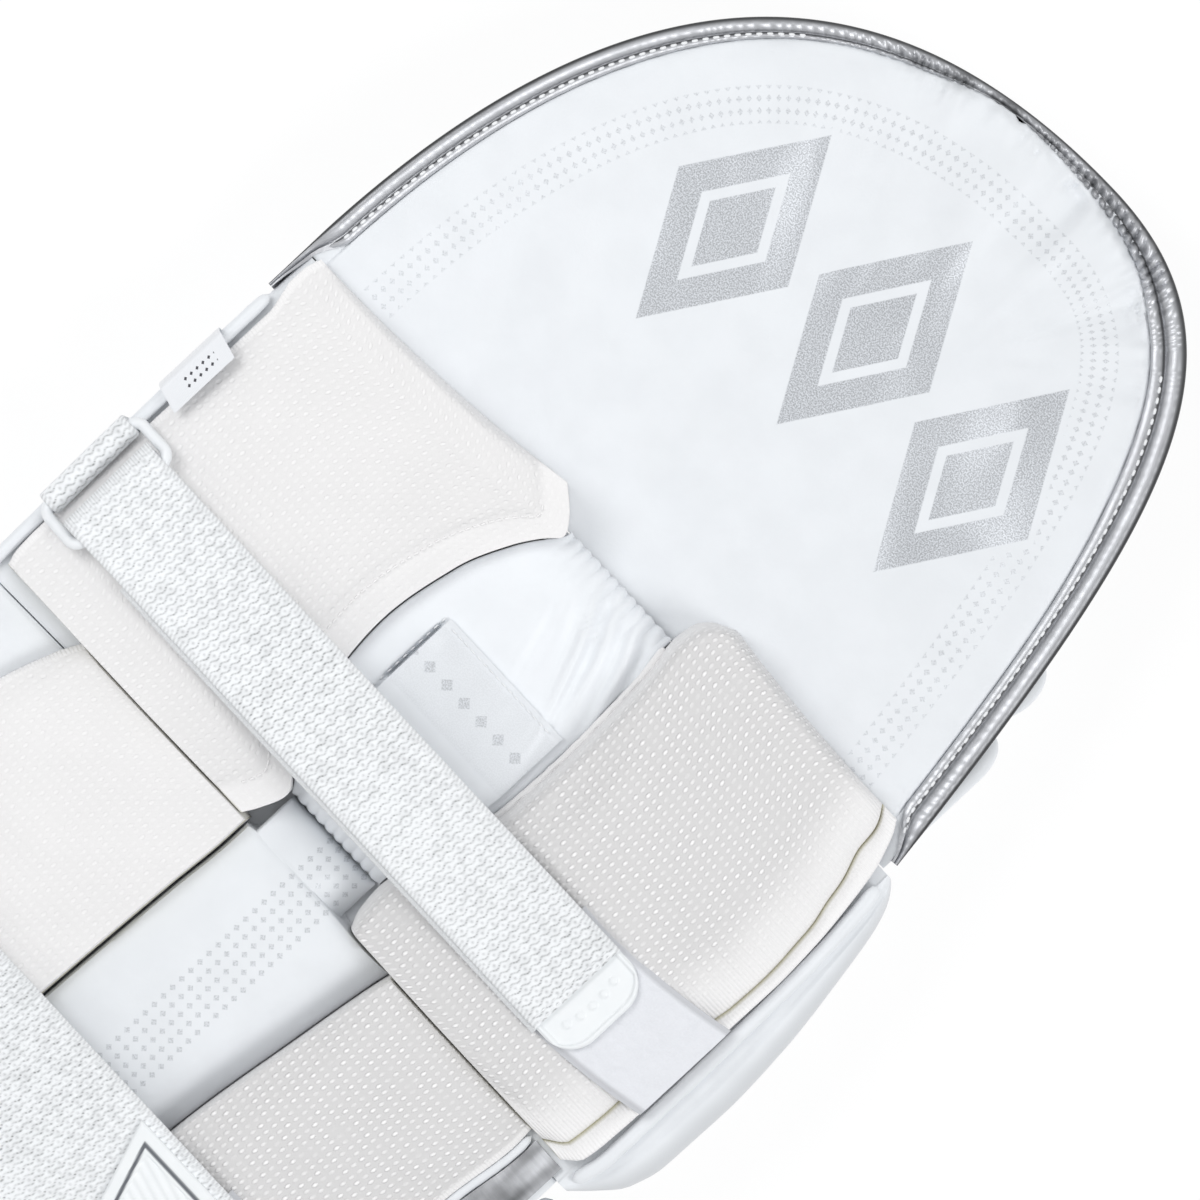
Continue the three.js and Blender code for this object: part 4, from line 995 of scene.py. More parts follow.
def white_thread(looks):
    material, tree, shader = new_material("white thread", 0.6, Sheen_Weight=0.2)
    fuzz = noise_of(tree, wire(tree, "ShaderNodeTexCoord").outputs["Object"], 3000.0, 2.0)
    tint = mixed(tree, fuzz, (0.78, 0.80, 0.82, 1), (0.95, 0.96, 0.97, 1))
    tree.links.new(tint, shader.inputs["Base Color"])
    return material


FINISHES = {
    "white_leather": white_leather,
    "cup_leather": cup_leather,
    "flap_leather": flap_leather,
    "panel_leather": panel_leather,
    "patch_leather": patch_leather,
    "cream_mesh": cream_mesh,
    "silver_leather": silver_leather,
    "white_webbing": white_webbing,
    "hook_tape": hook_tape,
    "loop_pile": loop_pile,
    "white_plastic": white_plastic,
    "clear_rubber": clear_rubber,
    "white_satin": white_satin,
    "white_thread": white_thread,
}
MADE = {}


def finish_of(context, name):
    """A finish, made the first time that a piece asks for it."""
    if name not in MADE:
        MADE[name] = FINISHES[name](context.scene.batting_pad)
    return MADE[name]


def settle(piece, slot, *nodes):
    """Makes a piece ride on the pad in place of the CAD nodes it shows."""
    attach(piece, "root")
    if nodes:
        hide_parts(*nodes)
    return piece


# Flap
def flap_line(count):
    """The flap's outer line from left to right, with outward directions."""
    t = np.linspace(0, 1, 400)[:, None]
    pieces = []
    for a, b, c, d in (np.array(FLAP_LEFT_CURVE), np.array(FLAP_RIGHT_CURVE)):
        pieces.append(a * (1 - t) ** 3 + 3 * b * t * (1 - t) ** 2 + 3 * c * t**2 * (1 - t) + d * t**3)
    line = spaced(np.concatenate([pieces[0], pieces[1][1:]]), count)
    tangent = np.gradient(line, axis=0)
    tangent /= np.linalg.norm(tangent, axis=1)[:, None]
    return line, np.stack([-tangent[:, 1], tangent[:, 0]], axis=-1)


def pucker_zone(share):
    """Where the binding gathers the lining: most at the upper right."""
    right = smoothstep(share, 0.36, 0.44) * (1 - smoothstep(share, 0.62, 0.7))
    foot = smoothstep(share, 0.94, 1)
    return 0.15 + right + 0.6 * foot


def binding_at(name, share):
    return along(BINDING, name, share, "share")


def rim_inset(share, run):
    """How far inside the outer line the lining starts; where it is gathered its edge is ragged."""
    ragged = 0.9 * pucker_zone(share) * np.maximum(-0.3, hills(run, 0, 4.5, 20))
    left_tuck = lerp(0.55, 1, smoothstep(share, 0, 0.013))
    right_tuck = lerp(0.3, 1, smoothstep(1 - share, 0, 0.025))
    bead = left_tuck * right_tuck * binding_at("bead", share)
    return 2 * bead + BINDING_SEAM + ragged * smoothstep(share, 0.36, 0.44)


def build_flap(context):
    looks = context.scene.batting_pad
    depth = looks.pucker_depth / MM
    line, out = flap_line(LINING_POINTS)
    outline, _ = flap_line(OUTLINE_POINTS)
    length = line_length(outline)
    start = np.linspace(0, 1, len(line))
    rim = line - out * rim_inset(start, start * length)[:, None]
    foot_x = np.linspace(rim[0, 0], rim[-1, 0], len(rim))
    foot = np.stack([foot_x, np.full(len(rim), FLAP_FOOT + GAP / 2)], axis=-1)
    steps = np.linspace(0, 1, 84) ** 1.6
    spots = rim[None] + (foot - rim)[None] * steps[:, None, None]
    inwards = np.empty(spots.shape[:2])
    nearest = np.empty(spots.shape[:2], int)
    for row, spot in enumerate(spots):
        distance = np.linalg.norm(spot[:, None] - outline[None], axis=2)
        nearest[row] = distance.argmin(axis=1)
        inwards[row] = distance.min(axis=1)
    share = nearest / (len(outline) - 1)
    run = share * length
    x, y = spots[..., 0], spots[..., 1]
    held = np.maximum(rim_inset(share, run), binding_at("tape", share))
    past = np.maximum(0, inwards - held)
    middle = inner_at(x, y) - FLAP_THICKNESS / 2
    half = lerp(FLAP_RIM, FLAP_THICKNESS, roll(past, FLAP_ROLL)) / 2
    tucks = np.abs(np.sin(math.pi * (run / 5.6 + 0.9 * hills(run, 0, 9, 21)))) - 0.6
    tucks = tucks * np.exp(-((past / 7) ** 2)) * smoothstep(past, 0, 1.5)
    folds = hills(run, 0.22 * past, 9, 22) * np.exp(-past / 26) * smoothstep(past, 0, 4)
    waves = hills(x, y, 40, 23) * smoothstep(past, 6, 50)
    creases = hills(0.8 * x + 0.6 * y, 0.3 * y - 0.4 * x, 15, 24) * smoothstep(past, 8, 40)
    zone = pucker_zone(share)
    flat = smoothstep(y, FLAP_FOOT, FLAP_FOOT + 30)
    top = middle + half + depth * (zone * (1.0 * tucks + 3.0 * folds) + flat * (2.4 * waves + 1.2 * creases))
    maps = {"UVMap": np.stack([x, y], axis=-1) * MM, "arch": np.stack([run, inwards], axis=-1) * MM}
    leather = finish_of(context, "flap_leather")
    piece = slab("flap_lining", x, y, top, middle - half, leather, maps=maps, below=PLAIN_BELOW)
    settle(piece, "white_leather", "flap")


def build_binding(context):
    """Silver binding: a bead on the outer line, and tapes that grip the lining above and below."""
    line, out = flap_line(BINDING_POINTS)
    share = np.linspace(0, 1, len(line))[:, None]
    run = share * line_length(line)
    tail = np.linspace(BINDING_TAIL, 0, 40, endpoint=False)
    line = np.concatenate([line[0] - tail[:, None] * (0, 1), line])
    out = np.concatenate([np.repeat(out[:1], len(tail), axis=0), out])
    share = np.concatenate([np.zeros((len(tail), 1)), share])
    run = np.concatenate([-tail[:, None], run])
    tucked = 0.2 + 0.25 * smoothstep(run, -BINDING_TAIL, 0) + 0.55 * smoothstep(run, -4, BINDING_TUCK)
    tucked = tucked * lerp(0.25, 1, smoothstep(run[-1] - run, 0, 2 * BINDING_TUCK))
    bead = binding_at("bead", share) * tucked
    lift = binding_at("lift", share) * tucked
    tape = np.maximum(binding_at("tape", share) * tucked, 2 * bead + 0.3)
    crumple = binding_at("crumple", share)
    angle = np.radians(np.linspace(150, -150, 23))[None, :]
    ones = np.ones_like(share)
    inner_side = 2 * bead + 0.1
    round_out = [bead * np.cos(angle) - bead]
    round_up = [bead * np.sin(angle) + lift]
    under_tape = np.minimum(UNDER_TAPE, 2.2 * bead + 2)
    low_tape = ((inner_side, -3.9), (under_tape, -4.2), (under_tape, -3.3), (inner_side, -3.2))
    high_tape = ((0, 3.3), (1, 3.5), (1, 4.3), (0.85, 4.8), (0.5, 5.0), (0.2, 4.7), (0.1, 4.2), (0, 4.0))
    for reach, up in low_tape:
        round_out.append(-reach * ones)
        round_up.append(up * ones)
    for part, up in high_tape:
        round_out.append(-lerp(inner_side, tape, part))
        round_up.append((up - 5.0 + bead + lift) * ones if up > 3.9 else up * ones)
    outwards = np.concatenate(round_out, axis=1)
    upwards = np.concatenate(round_up, axis=1)
    ridge = np.abs(np.sin(math.pi * (run / 3.6 + 0.8 * hills(run, 0, 8, 31) + 0.12 * outwards))) - 0.6
    ridge = 2.4 * ridge + 0.7 * hills(run, 0.5 * outwards, 2.6, 32)
    seen = smoothstep(upwards, 0, 2)
    upwards = upwards + crumple * ridge * seen * smoothstep(-outwards, 0.4, 3)
    x = line[:, None, 0] + out[:, None, 0] * outwards
    y = line[:, None, 1] + out[:, None, 1] * outwards
    z = inner_at(x, y) - FLAP_THICKNESS / 2 + upwards
    # Painted shade: the bead's outer side turns dark, standing in for the dark reflection it would catch
    turned = np.concatenate([smoothstep(np.cos(angle), 0.1, 0.8) * ones, np.zeros((len(line), 12))], axis=1)
    # Painted shade in patches over the crumpled upper right
    shade_patches = 0.5 + 0.5 * hills(run, 0.4 * outwards, 6, 34)
    crumple_shade = 0.8 * smoothstep(share, 0.37, 0.44) * (1 - smoothstep(share, 0.48, 0.6)) * shade_patches
    # Painted shade in the stitch groove
    groove = np.zeros_like(turned)
    groove[:, -3:] = (0.5, 0.9, 0.9)
    # Painted shade on the tape's under side, lighter where the binding tucks in
    hidden = 1 - smoothstep(upwards, -1, 1)
    hidden = hidden * lerp(0.5, 1, smoothstep(run, 0, BINDING_TUCK))
    # All the painted shade the silver takes
    under = np.maximum(np.maximum(turned, crumple_shade), np.maximum(groove, hidden))
    piece = loops_object(
        "flap_edging", stack(x, y, z), finish_of(context, "silver_leather"), values={"under": under}
    )
    settle(piece, "silver_leather", "flap_binding")
    sewn = (inner_side + 0.12 * (tape - inner_side) + 0.3)[:, 0]
    seam_x = line[:, 0] - out[:, 0] * sewn
    seam_y = line[:, 1] - out[:, 1] * sewn
    seam_up = inner_at(seam_x, seam_y) - FLAP_THICKNESS / 2 + (bead + lift)[:, 0] - 0.35
    seam = stack(seam_x, seam_y, seam_up)
    thread = finish_of(context, "white_thread")
    for side, first, last in (("left", 0.01, 0.33), ("right", 0.66, 0.985)):
        chosen = (share[:, 0] > first) & (share[:, 0] < last)
        row = stitches(f"flap_stitches_{side}", seam[chosen], thread, 3.5, 2.4, 1.0)
        settle(row, "white_webbing")


# Front of the pad
def build_knee_roll(context, size):
    column = rolled_steps(0, 1, 0.04, 8, 70)[None, :]
    y = rolled_steps(size["foot"], size["head"], ROLL_EDGE, 8, 16)[:, None]
    column, y = np.broadcast_arrays(column, y)
    tuck = ROLL_EDGE * (1 - roll(np.minimum(y - size["foot"], size["head"] - y), 1.6 * ROLL_EDGE))
    left = size["left"] + tuck
    right = size["right"] - tuck
    x = lerp(left, right, column)
    sides = roll(np.minimum(x - left, right - x), ROLL_EDGE)
    edge = sides * roll(np.minimum(y - size["foot"], size["head"] - y), ROLL_EDGE)
    back = inner_at(x, y) - FLAP_THICKNESS - GAP
    waist = back - ROLL_THICKNESS / 2
    soft = 0.5 * hills(x, y, 22, 41) * edge
    low = lerp(waist, back - ROLL_THICKNESS, edge) + soft
    high = np.maximum(low + 1, lerp(waist + 1, back, edge))
    piece = slab(f"{size['node']}_pad", x, y, high, np.maximum(0, low), finish_of(context, "white_leather"))
    settle(piece, "white_leather", size["node"])


def build_knee_face(context):
    flat = rolled_steps(0, 1, 0.08, 10, 60)
    wing = 1 + np.sin(np.linspace(0, math.pi / 2, 26)[1:])
    column = np.concatenate([flat, wing])[None, :]
    row = rolled_steps(KNEE_FOOT + GAP / 2, FLAP_FOOT - GAP / 2, 10, 8, 50)[:, None]
    column, y = np.broadcast_arrays(column, row)
    left = along(TROUGH, "left", y)
    right = along(TROUGH, "right", y)
    out = np.clip(column - 1, 0, 1)
    round_off = np.sqrt(1 - out**2)
    round_top = (1 - out**WING_POWER) ** (1 / WING_POWER)
    seam_top = inner_at(right, y) - SEAM_FALL
    front = front_at(right, y)
    reach = along(WING, "reach", y) * lerp(0.2, 1, roll(FLAP_FOOT - y, WING_CORNER))
    wing_x = right + reach * out
    groove = np.exp(-(((wing_x - right - 0.52 * reach) / 0.7) ** 2)) * smoothstep(y, 8, 20)
    soft = 0.5 * hills(wing_x, y, 14, 44) * out
    soft = soft + 0.45 * hills(0.35 * wing_x, y, 5, 45) * smoothstep(out, 0.1, 0.5)
    wing_low = WING_EQUATOR - WING_EDGE / 2 - (WING_EQUATOR - front) * round_off
    wing_high = WING_EQUATOR + WING_EDGE / 2 + (seam_top - WING_EQUATOR) * round_top - 0.7 * groove + soft
    flat_x = lerp(left, right, np.minimum(column, 1))
    left_roll = roll(flat_x - left, SHOULDER)
    fall = SEAM_FALL * smoothstep(flat_x, right - SHOULDER, right)
    flat_low = front_at(flat_x, y) + BELLY_LIFT * (1 - left_roll)
    sewn = SEAM_FALL * (1 - roll(y - KNEE_FOOT, SEAM_ROLL))
    flat_high = inner_at(flat_x, y) - SHOULDER_DROP * (1 - left_roll) - np.maximum(fall, sewn)
    on_wing = column > 1
    x = np.where(on_wing, wing_x, flat_x)
    high = np.where(on_wing, wing_high, flat_high)
    low = np.where(on_wing, wing_low, flat_low)
    # Painted shade on the wing's outer part, where it curves away from the light
    under = {"under": 0.9 * smoothstep(out, 0.5, 1)}
    piece = slab("knee_front", x, y, high, low, finish_of(context, "white_leather"), under)
    settle(piece, "white_leather", "knee_face")


def build_shin_face(context):
    foot_rows = np.linspace(0, 0.06, 12)
    head_rows = np.linspace(0.985, 1, 7)
    row = np.concatenate([foot_rows, np.linspace(0.06, 0.985, 70)[1:-1], head_rows])[:, None]
    column = rolled_steps(0, 1, 0.04, 6, 150)[None, :]
    row, column = np.broadcast_arrays(row, column)
    level = lerp(PAD_FOOT, KNEE_FOOT - GAP / 2, row)
    tuck = FOOT_CORNER * (1 - roll(level - PAD_FOOT, FOOT_CORNER))
    left = along(TROUGH, "left", level) + tuck
    right = along(TROUGH, "right", level) - tuck
    x = lerp(left, right, column)
    foot = instep_at(x)
    y = lerp(foot, KNEE_FOOT - GAP / 2, row)
    edge = roll(np.minimum(np.minimum(x - left, right - x), y - foot), SHOULDER)
    groove = 1 - np.sqrt(np.abs(np.cos(math.pi * x / RIB_PITCH)))
    low = front_at(x, y) + np.maximum(RIB_DEPTH * groove, BELLY_LIFT * (1 - edge))
    sewn = SEAM_FALL * (1 - roll(KNEE_FOOT - y, SEAM_ROLL))
    high = inner_at(x, y) - SHOULDER_DROP * (1 - edge) - sewn
    piece = slab("shin_front", x, y, high, low, finish_of(context, "white_leather"))
    settle(piece, "white_leather", "shin_face")


def piping_height(x, y):
    return shell_top_at(x + PIPING_RADIUS, y) + PIPING_LIFT


def build_edges(context):
    y = np.linspace(PIPING_FOOT, PIPING_HEAD, 260)
    x = along(TROUGH, "left", y) + PIPING_INSET
    leather = finish_of(context, "white_leather")
    line = stack(x, y, piping_height(x, y))
    piece = cord("left_edge_piping", line, PIPING_RADIUS, leather, ripple=0.05, seed=51)
    settle(piece, "white_leather", "edge_piping_left")
    y = np.linspace(BAND["y"][0], BAND["y"][-1], 120)
    x = along(BAND, "x", y)
    right = along(TROUGH, "right", y)
    out = np.clip((x - right) / along(WING, "reach", y), 0, 1)
    rise = inner_at(right, y) - SEAM_FALL - WING_EQUATOR
    top = WING_EQUATOR + WING_EDGE / 2 + rise * (1 - out**WING_POWER) ** (1 / WING_POWER)
    line = stack(x, y, top + 0.7 * BAND_RADIUS)
    piece = cord("right_edge_band", line, BAND_RADIUS, leather, ripple=0.04, seed=52)
    settle(piece, "white_leather", "edge_band_right")


def build_shin_binding(context):
    def waist(x, y):
        return (inner_at(x, y) - SHOULDER_DROP + front_at(x, y) + BELLY_LIFT) / 2

    y = np.linspace(SHIN_TURN["head"], PAD_FOOT + SHIN_TURN["corner_rise"], 8)
    x = along(TROUGH, "right", y)
    side = stack(x + SHIN_SEAT, y, waist(x, y))
    corner = float(along(TROUGH, "right", np.array(PAD_FOOT)))
    out = SHIN_TURN["corner_share"] * SHIN_SEAT
    turn = np.array([[corner + out, PAD_FOOT - out, float(waist(np.array(corner), np.array(PAD_FOOT)))]])
    share = np.linspace(SHIN_TURN["from"], SHIN_TURN["to"], 13)
    x = share * INSTEP_HALF
    y = instep_at(x)
    slope = -2 * INSTEP_RISE * share / INSTEP_HALF
    away = (SHIN_SEAT + SHIN_TURN["spare"]) / np.hypot(slope, 1)
    under = stack(x + slope * away, y - away, waist(x, y))
    line = smooth_line(np.concatenate([side, turn, under]), 420)
    piece = cord("shin_edging", line, SHIN_BEAD, finish_of(context, "silver_leather"), 18, 0.09, 53)
    settle(piece, "silver_leather", "shin_binding")


# Bolsters
def bolster_ends(edges, row):
    """Share of the full height near a bolster's ends: crisp where the knee meets the shin."""
    foot, head = edges["y"][0], edges["y"][-1]
    on_knee = foot > 0
    at_foot = roll(row - foot, SEAM_END if on_knee else BOLSTER_ROLL)
    at_head = roll(head - row, BOLSTER_END if on_knee else SEAM_END)
    return at_foot * at_head


def bolster_surface(bolster, row, column):
    """Places and heights of a bolster's cover, and how strongly its mesh shows dimples with their painted
    shade.
    """
    edges = bolster["edges"]
    foot, head = edges["y"][0], edges["y"][-1]
    inner = along(edges, "inner", row)
    outer = along(edges, "outer", row)
    share = np.minimum(column, 1)
    slant = bolster["head_drop"] * (1 - (1 - share) ** 2)
    y = row - slant * smoothstep(row, (foot + head) / 2, head)
    ends = bolster_ends(edges, row)
    x = lerp(inner, outer, share)
    from_inner = np.abs(x - inner)
    from_outer = np.abs(x - outer)
    sides = roll(from_inner, bolster["inner_reach"], bolster["inner_power"])
    sides = sides * roll(from_outer, bolster["outer_reach"])
    low = inner_at(x, y) + GAP
    rim = lerp(bolster["inner_rim"], BOLSTER_RIM, smoothstep(from_inner, 4, 40))
    crown = crown_at(bolster, x, row) - bolster["dip"] * (1 - smoothstep(from_inner, 4, 48))
    high = low + rim + (crown - low - rim) * sides * ends
    body = smoothstep(sides * ends, 0.5, 1)
    soft = 0.45 * hills(x, y, 26, bolster["seed"]) + 0.2 * hills(x, y, 9, bolster["seed"] + 1)
    high = high + soft * body
    if bolster["seam"] > 3:
        high = high - 0.9 * np.exp(-(((from_inner - bolster["seam"]) / 0.7) ** 2)) * ends
    on_top = smoothstep(from_inner, bolster["seam"], bolster["seam"] + 2)
    pulled = 1 - smoothstep(from_outer, 2, bolster["ribs"])
    # Dimples with their painted shade: half on the wall below the seam, little where the mesh is pulled
    dimples_and_shade = bolster["dimples"] * lerp(0.5, 1, on_top) * (1 - 0.85 * pulled)
    return x, y, high, low, {"dimples_and_shade": dimples_and_shade, "ribbed": on_top * pulled}


def under_strap(y):
    """How far the straps press a bolster down."""
    pressed = np.zeros_like(y)
    for strap in STRAPS:
        inside = smoothstep(y, strap["low"] - 3, strap["low"] + 3)
        inside = inside * (1 - smoothstep(y, strap["high"] - 3, strap["high"] + 3))
        pressed = np.maximum(pressed, inside)
    return pressed


def build_bolster(context, node):
    bolster = BOLSTERS[node]
    edges = bolster["edges"]
    foot, head = edges["y"][0], edges["y"][-1]
    count = 90 if foot > 0 else 120
    row = rolled_steps(foot, head, BOLSTER_END, 12, count)[:, None]
    column = rolled_steps(0, 1, 0.14, 14, 60)
    cover = slice(len(column))
    if "welt" in edges:
        column = np.concatenate([column, 1 + np.linspace(0, 1, 15)[1:]])
    row, column = np.broadcast_arrays(row, column[None, :])
    x, y, high, low, looks = bolster_surface(bolster, row, column)
    seam = row - foot if foot > 0 else head - row
    # Painted shade along the seam where the knee and shin bolsters meet
    looks["crease_shade"] = 0.4 * (1 - smoothstep(seam, 0.5 * SEAM_LINE, SEAM_LINE))
    # The left shin bolster's inner edge gets a painted dark line for the shade in the gap beside it
    if node == "shin_bolster_left":
        from_edge = np.abs(x - x[:, :1])
        inner_line = smoothstep(from_edge, 0.1 * SEAM_LINE, 0.4 * SEAM_LINE)
        inner_line = inner_line * (1 - smoothstep(from_edge, 0.5 * SEAM_LINE, SEAM_LINE))
        looks["crease_shade"] = np.maximum(looks["crease_shade"], inner_line)
    free = 1 - under_strap(y[:, cover])
    moved = puffed(x[:, cover], y[:, cover], high[:, cover], low[:, cover], BOLSTER_PUFF)
    high[:, cover] += moved * free
    high = high - 0.8 * under_strap(y) * smoothstep(high - low, 8, 20)
    if "welt" in edges:
        out = np.clip(column - 1, 0, 1)
        ends = bolster_ends(edges, row)
        outer = along(edges, "outer", row)
        wander = 0.7 * hills(y, 0, 9, 61)
        welt_x = lerp(outer + CREASE_WIDTH + wander, along(edges, "welt", row), out)
        welt_low = inner_at(welt_x, y) + GAP
        bump = np.sqrt(np.maximum(0, 1 - (2 * out - 1) ** 2))
        tight = 0.1 + 0.3 * (1 - smoothstep(np.minimum(row - foot, head - row), 8, 26))
        bump = bump * (1 - tight * (0.5 + 0.5 * hills(y, 2 * out, 2.6, 62)))
        welt_high = welt_low + CREASE_HEIGHT + (WELT_HEIGHT - CREASE_HEIGHT) * bump * ends
        on_welt = column > 1
        at_crease = np.where(on_welt | (column < 1), 0, 1)
        x = np.where(on_welt, welt_x, x + wander * smoothstep(column, 0.9, 1))
        low = np.where(on_welt, welt_low, low)
        high = np.where(on_welt, welt_high, high - (BOLSTER_RIM - CREASE_HEIGHT) * at_crease)
        looks["dimples_and_shade"] = np.where(on_welt, 0, looks["dimples_and_shade"])
        looks["ribbed"] = np.where(on_welt, 1, looks["ribbed"])
        # Painted shade in the crease between the cover and its welt
        looks["crease_shade"] = np.where(column == 1, 1, looks["crease_shade"])
    piece = slab(f"{node}_cover", x, y, high, low, finish_of(context, "cream_mesh"), looks, below=PLAIN_BELOW)
    settle(piece, "cream_mesh", node)
    return x, y, high


def build_bolster_trims(context, left_cover):
    """Cords along the right bolsters' edges, and stitches along the left knee bolster's seam."""
    mesh = finish_of(context, "cream_mesh")
    depth = context.scene.batting_pad.gather_depth / MM
    y = np.linspace(CUP_FOOT + 4, CUP_HEAD - 2, 240)
    x = along(KNEE_RIGHT, "inner", y) - CORD_INSET
    seat = cup_top_at(x - CORD_RADIUS, y, depth) + 0.9 * CORD_RADIUS
    piece = cord("knee_bolster_cord", stack(x, y, seat), CORD_RADIUS, mesh, 8, 0.12, 63)
    settle(piece, "cream_mesh")
    y = np.linspace(SHIN_RIGHT["y"][1], SHIN_RIGHT["y"][-1] - 2, 240)
    x = along(SHIN_RIGHT, "outer", y) + EDGING_RADIUS
    seat = inner_at(x, y) + GAP + EDGING_RADIUS
    leather = finish_of(context, "white_leather")
    piece = cord("shin_bolster_edging", stack(x, y, seat), EDGING_RADIUS, leather, 10, 0.08, 64)
    settle(piece, "white_leather")
    line = []
    for x, y, high in zip(*left_cover):
        inwards = np.abs(x - x[0])
        spot = BOLSTERS["knee_bolster_left"]["seam"]
        line.append([np.interp(spot, inwards, values) for values in (x, y, high + 0.3)])
    line = np.array(line)
    line = line[(line[:, 1] > 14) & (line[:, 1] < 147)]
    settle(stitches("knee_bolster_seam", line, mesh, 2.6, 2.0, 0.5), "cream_mesh")


# Knee cup, shin panel and side lining
def cup_edges(y):
    return along(KNEE_LEFT, "inner", y) + GAP, along(KNEE_RIGHT, "inner", y) - GAP


def cup_top_at(x, y, depth):
    """The cup's cover: gathered along its head and foot, with long folds beside the right bolster."""
    left, right = cup_edges(y)
    from_head = CUP_HEAD - y
    from_foot = y - CUP_FOOT
    left_side = lerp(CUP_LEFT_SIDE, 1, roll(x - left, CUP_ROLL))
    right_side = lerp(CUP_RIGHT_SIDE, 1, roll(right - x, CUP_ROLL))
    sides = np.minimum(left_side, right_side)
    ends = roll(np.minimum(from_head, from_foot), CUP_ROLL)
    from_end = np.minimum(from_head, from_foot)
    aside = right - x
    gathers = np.abs(np.sin(math.pi * (x / GATHER_PITCH + 0.5 * hills(x, 0, 12, 71)))) - 0.5
    gathers = gathers * (np.exp(-from_head / 5) + 0.4 * np.exp(-from_foot / 5))
    lines = aside + 0.3 * from_head + 2.2 * hills(y, x, 20, 72)
    strong = 0.5 + 0.5 * hills(lines, 0.1 * y, 8.6, 75)
    near_right = 1 - smoothstep(aside, 22, 44)
    reach = np.exp(-((from_head / 40) ** 2)) * smoothstep(from_head, -4, 9)
    folds = strong * np.sin(2 * math.pi * lines / 8.6) * reach * near_right
    folds = folds + 0.35 * hills(x + 0.3 * y, 0.25 * y, 7, 73) * np.exp(-from_end / 22)
    waves = 0.35 * hills(x, y, 30, 74)
    swell = CUP_SWELL * sides * ends
    return inner_at(x, y) + GAP + CUP_RIM + swell + depth * (0.9 * gathers + 1.5 * folds + waves)


def build_knee_cup(context):
    depth = context.scene.batting_pad.gather_depth / MM
    row = rolled_steps(CUP_FOOT, CUP_HEAD, CUP_ROLL, 16, 70)[:, None]
    column = np.linspace(0, 1, 170)[None, :]
    row, column = np.broadcast_arrays(row, column)
    left, right = cup_edges(row)
    x = lerp(left, right, column)
    scallop = np.abs(np.sin(math.pi * (x / GATHER_PITCH + 0.5 * hills(x, 0, 12, 71))))
    at_head = smoothstep(row, CUP_HEAD - 7, CUP_HEAD)
    at_foot = 1 - smoothstep(row, CUP_FOOT, CUP_FOOT + 6)
    y = row + at_head * (CUP_OVERHANG + 0.7 * scallop) - 0.6 * at_foot * scallop
    slit = np.exp(-(((x - SLIT["x"]) / SLIT["half"]) ** 2))
    slit = slit * smoothstep(row, SLIT["foot"], SLIT["foot"] + 4)
    slit = slit * (1 - smoothstep(row, SLIT["head"] - 4, SLIT["head"]))
    high = cup_top_at(x, row, depth) - SLIT["depth"] * slit
    low = inner_at(x, y) + GAP + CUP_OVERHANG * at_head
    piece = slab("knee_cup_pad", x, y, high, low, finish_of(context, "cup_leather"), below=PLAIN_BELOW)
    settle(piece, "white_leather", "knee_cup")
    row = np.linspace(PATCH["foot"], PATCH["head"], 70)[:, None]
    column = np.linspace(0, 1, 70)[None, :]
    y, column = np.broadcast_arrays(row, column)
    left, right = cup_edges(y)
    start = np.maximum(PATCH["left"], left + PATCH["margin"])
    end = np.minimum(PATCH["right"], right - PATCH["margin"])
    x = lerp(start, end, column)
    open_side = np.exp(-(((x - start) / 3.5) ** 2)) * smoothstep(y, 58, 70) * (1 - smoothstep(y, 88, 99))
    low = cup_top_at(x, y, depth) + 0.35 + 1.5 * open_side
    high = low + PATCH["thickness"] - 0.5 * np.exp(-(((PATCH["head"] - y) - 2) / 0.8) ** 2)
    piece = slab("knee_cup_patch", x, y, high, low, finish_of(context, "patch_leather"), below=PLAIN_BELOW)
    settle(piece, "white_leather", "knee_patch")
    thread = finish_of(context, "white_thread")
    line = stack(x[-1, 2:-2], y[-1, 2:-2] - 2, high[-9, 2:-2] + 0.15)
    settle(stitches("knee_patch_stitches_top", line, thread, 2.9, 2.0, 0.5), "white_webbing")
    line = stack(start[:, 0] - 1.4, row[:, 0], cup_top_at(start[:, 0] - 1.4, row[:, 0], depth) + 0.2)
    settle(stitches("knee_patch_stitches_side", line, thread, 3.4, 2.0, 0.45), "white_webbing")


def panel_edges(y):
    under = smoothstep(y, SHIN_PANEL["neck_foot"], SHIN_PANEL["neck_head"])
    left = along(SHIN_LEFT, "inner", y) + GAP
    right = along(SHIN_RIGHT, "inner", y) - GAP
    return lerp(left, KNEE_LEFT["inner"][2] + SEAM, under), lerp(right, KNEE_RIGHT["inner"][2] - SEAM, under)


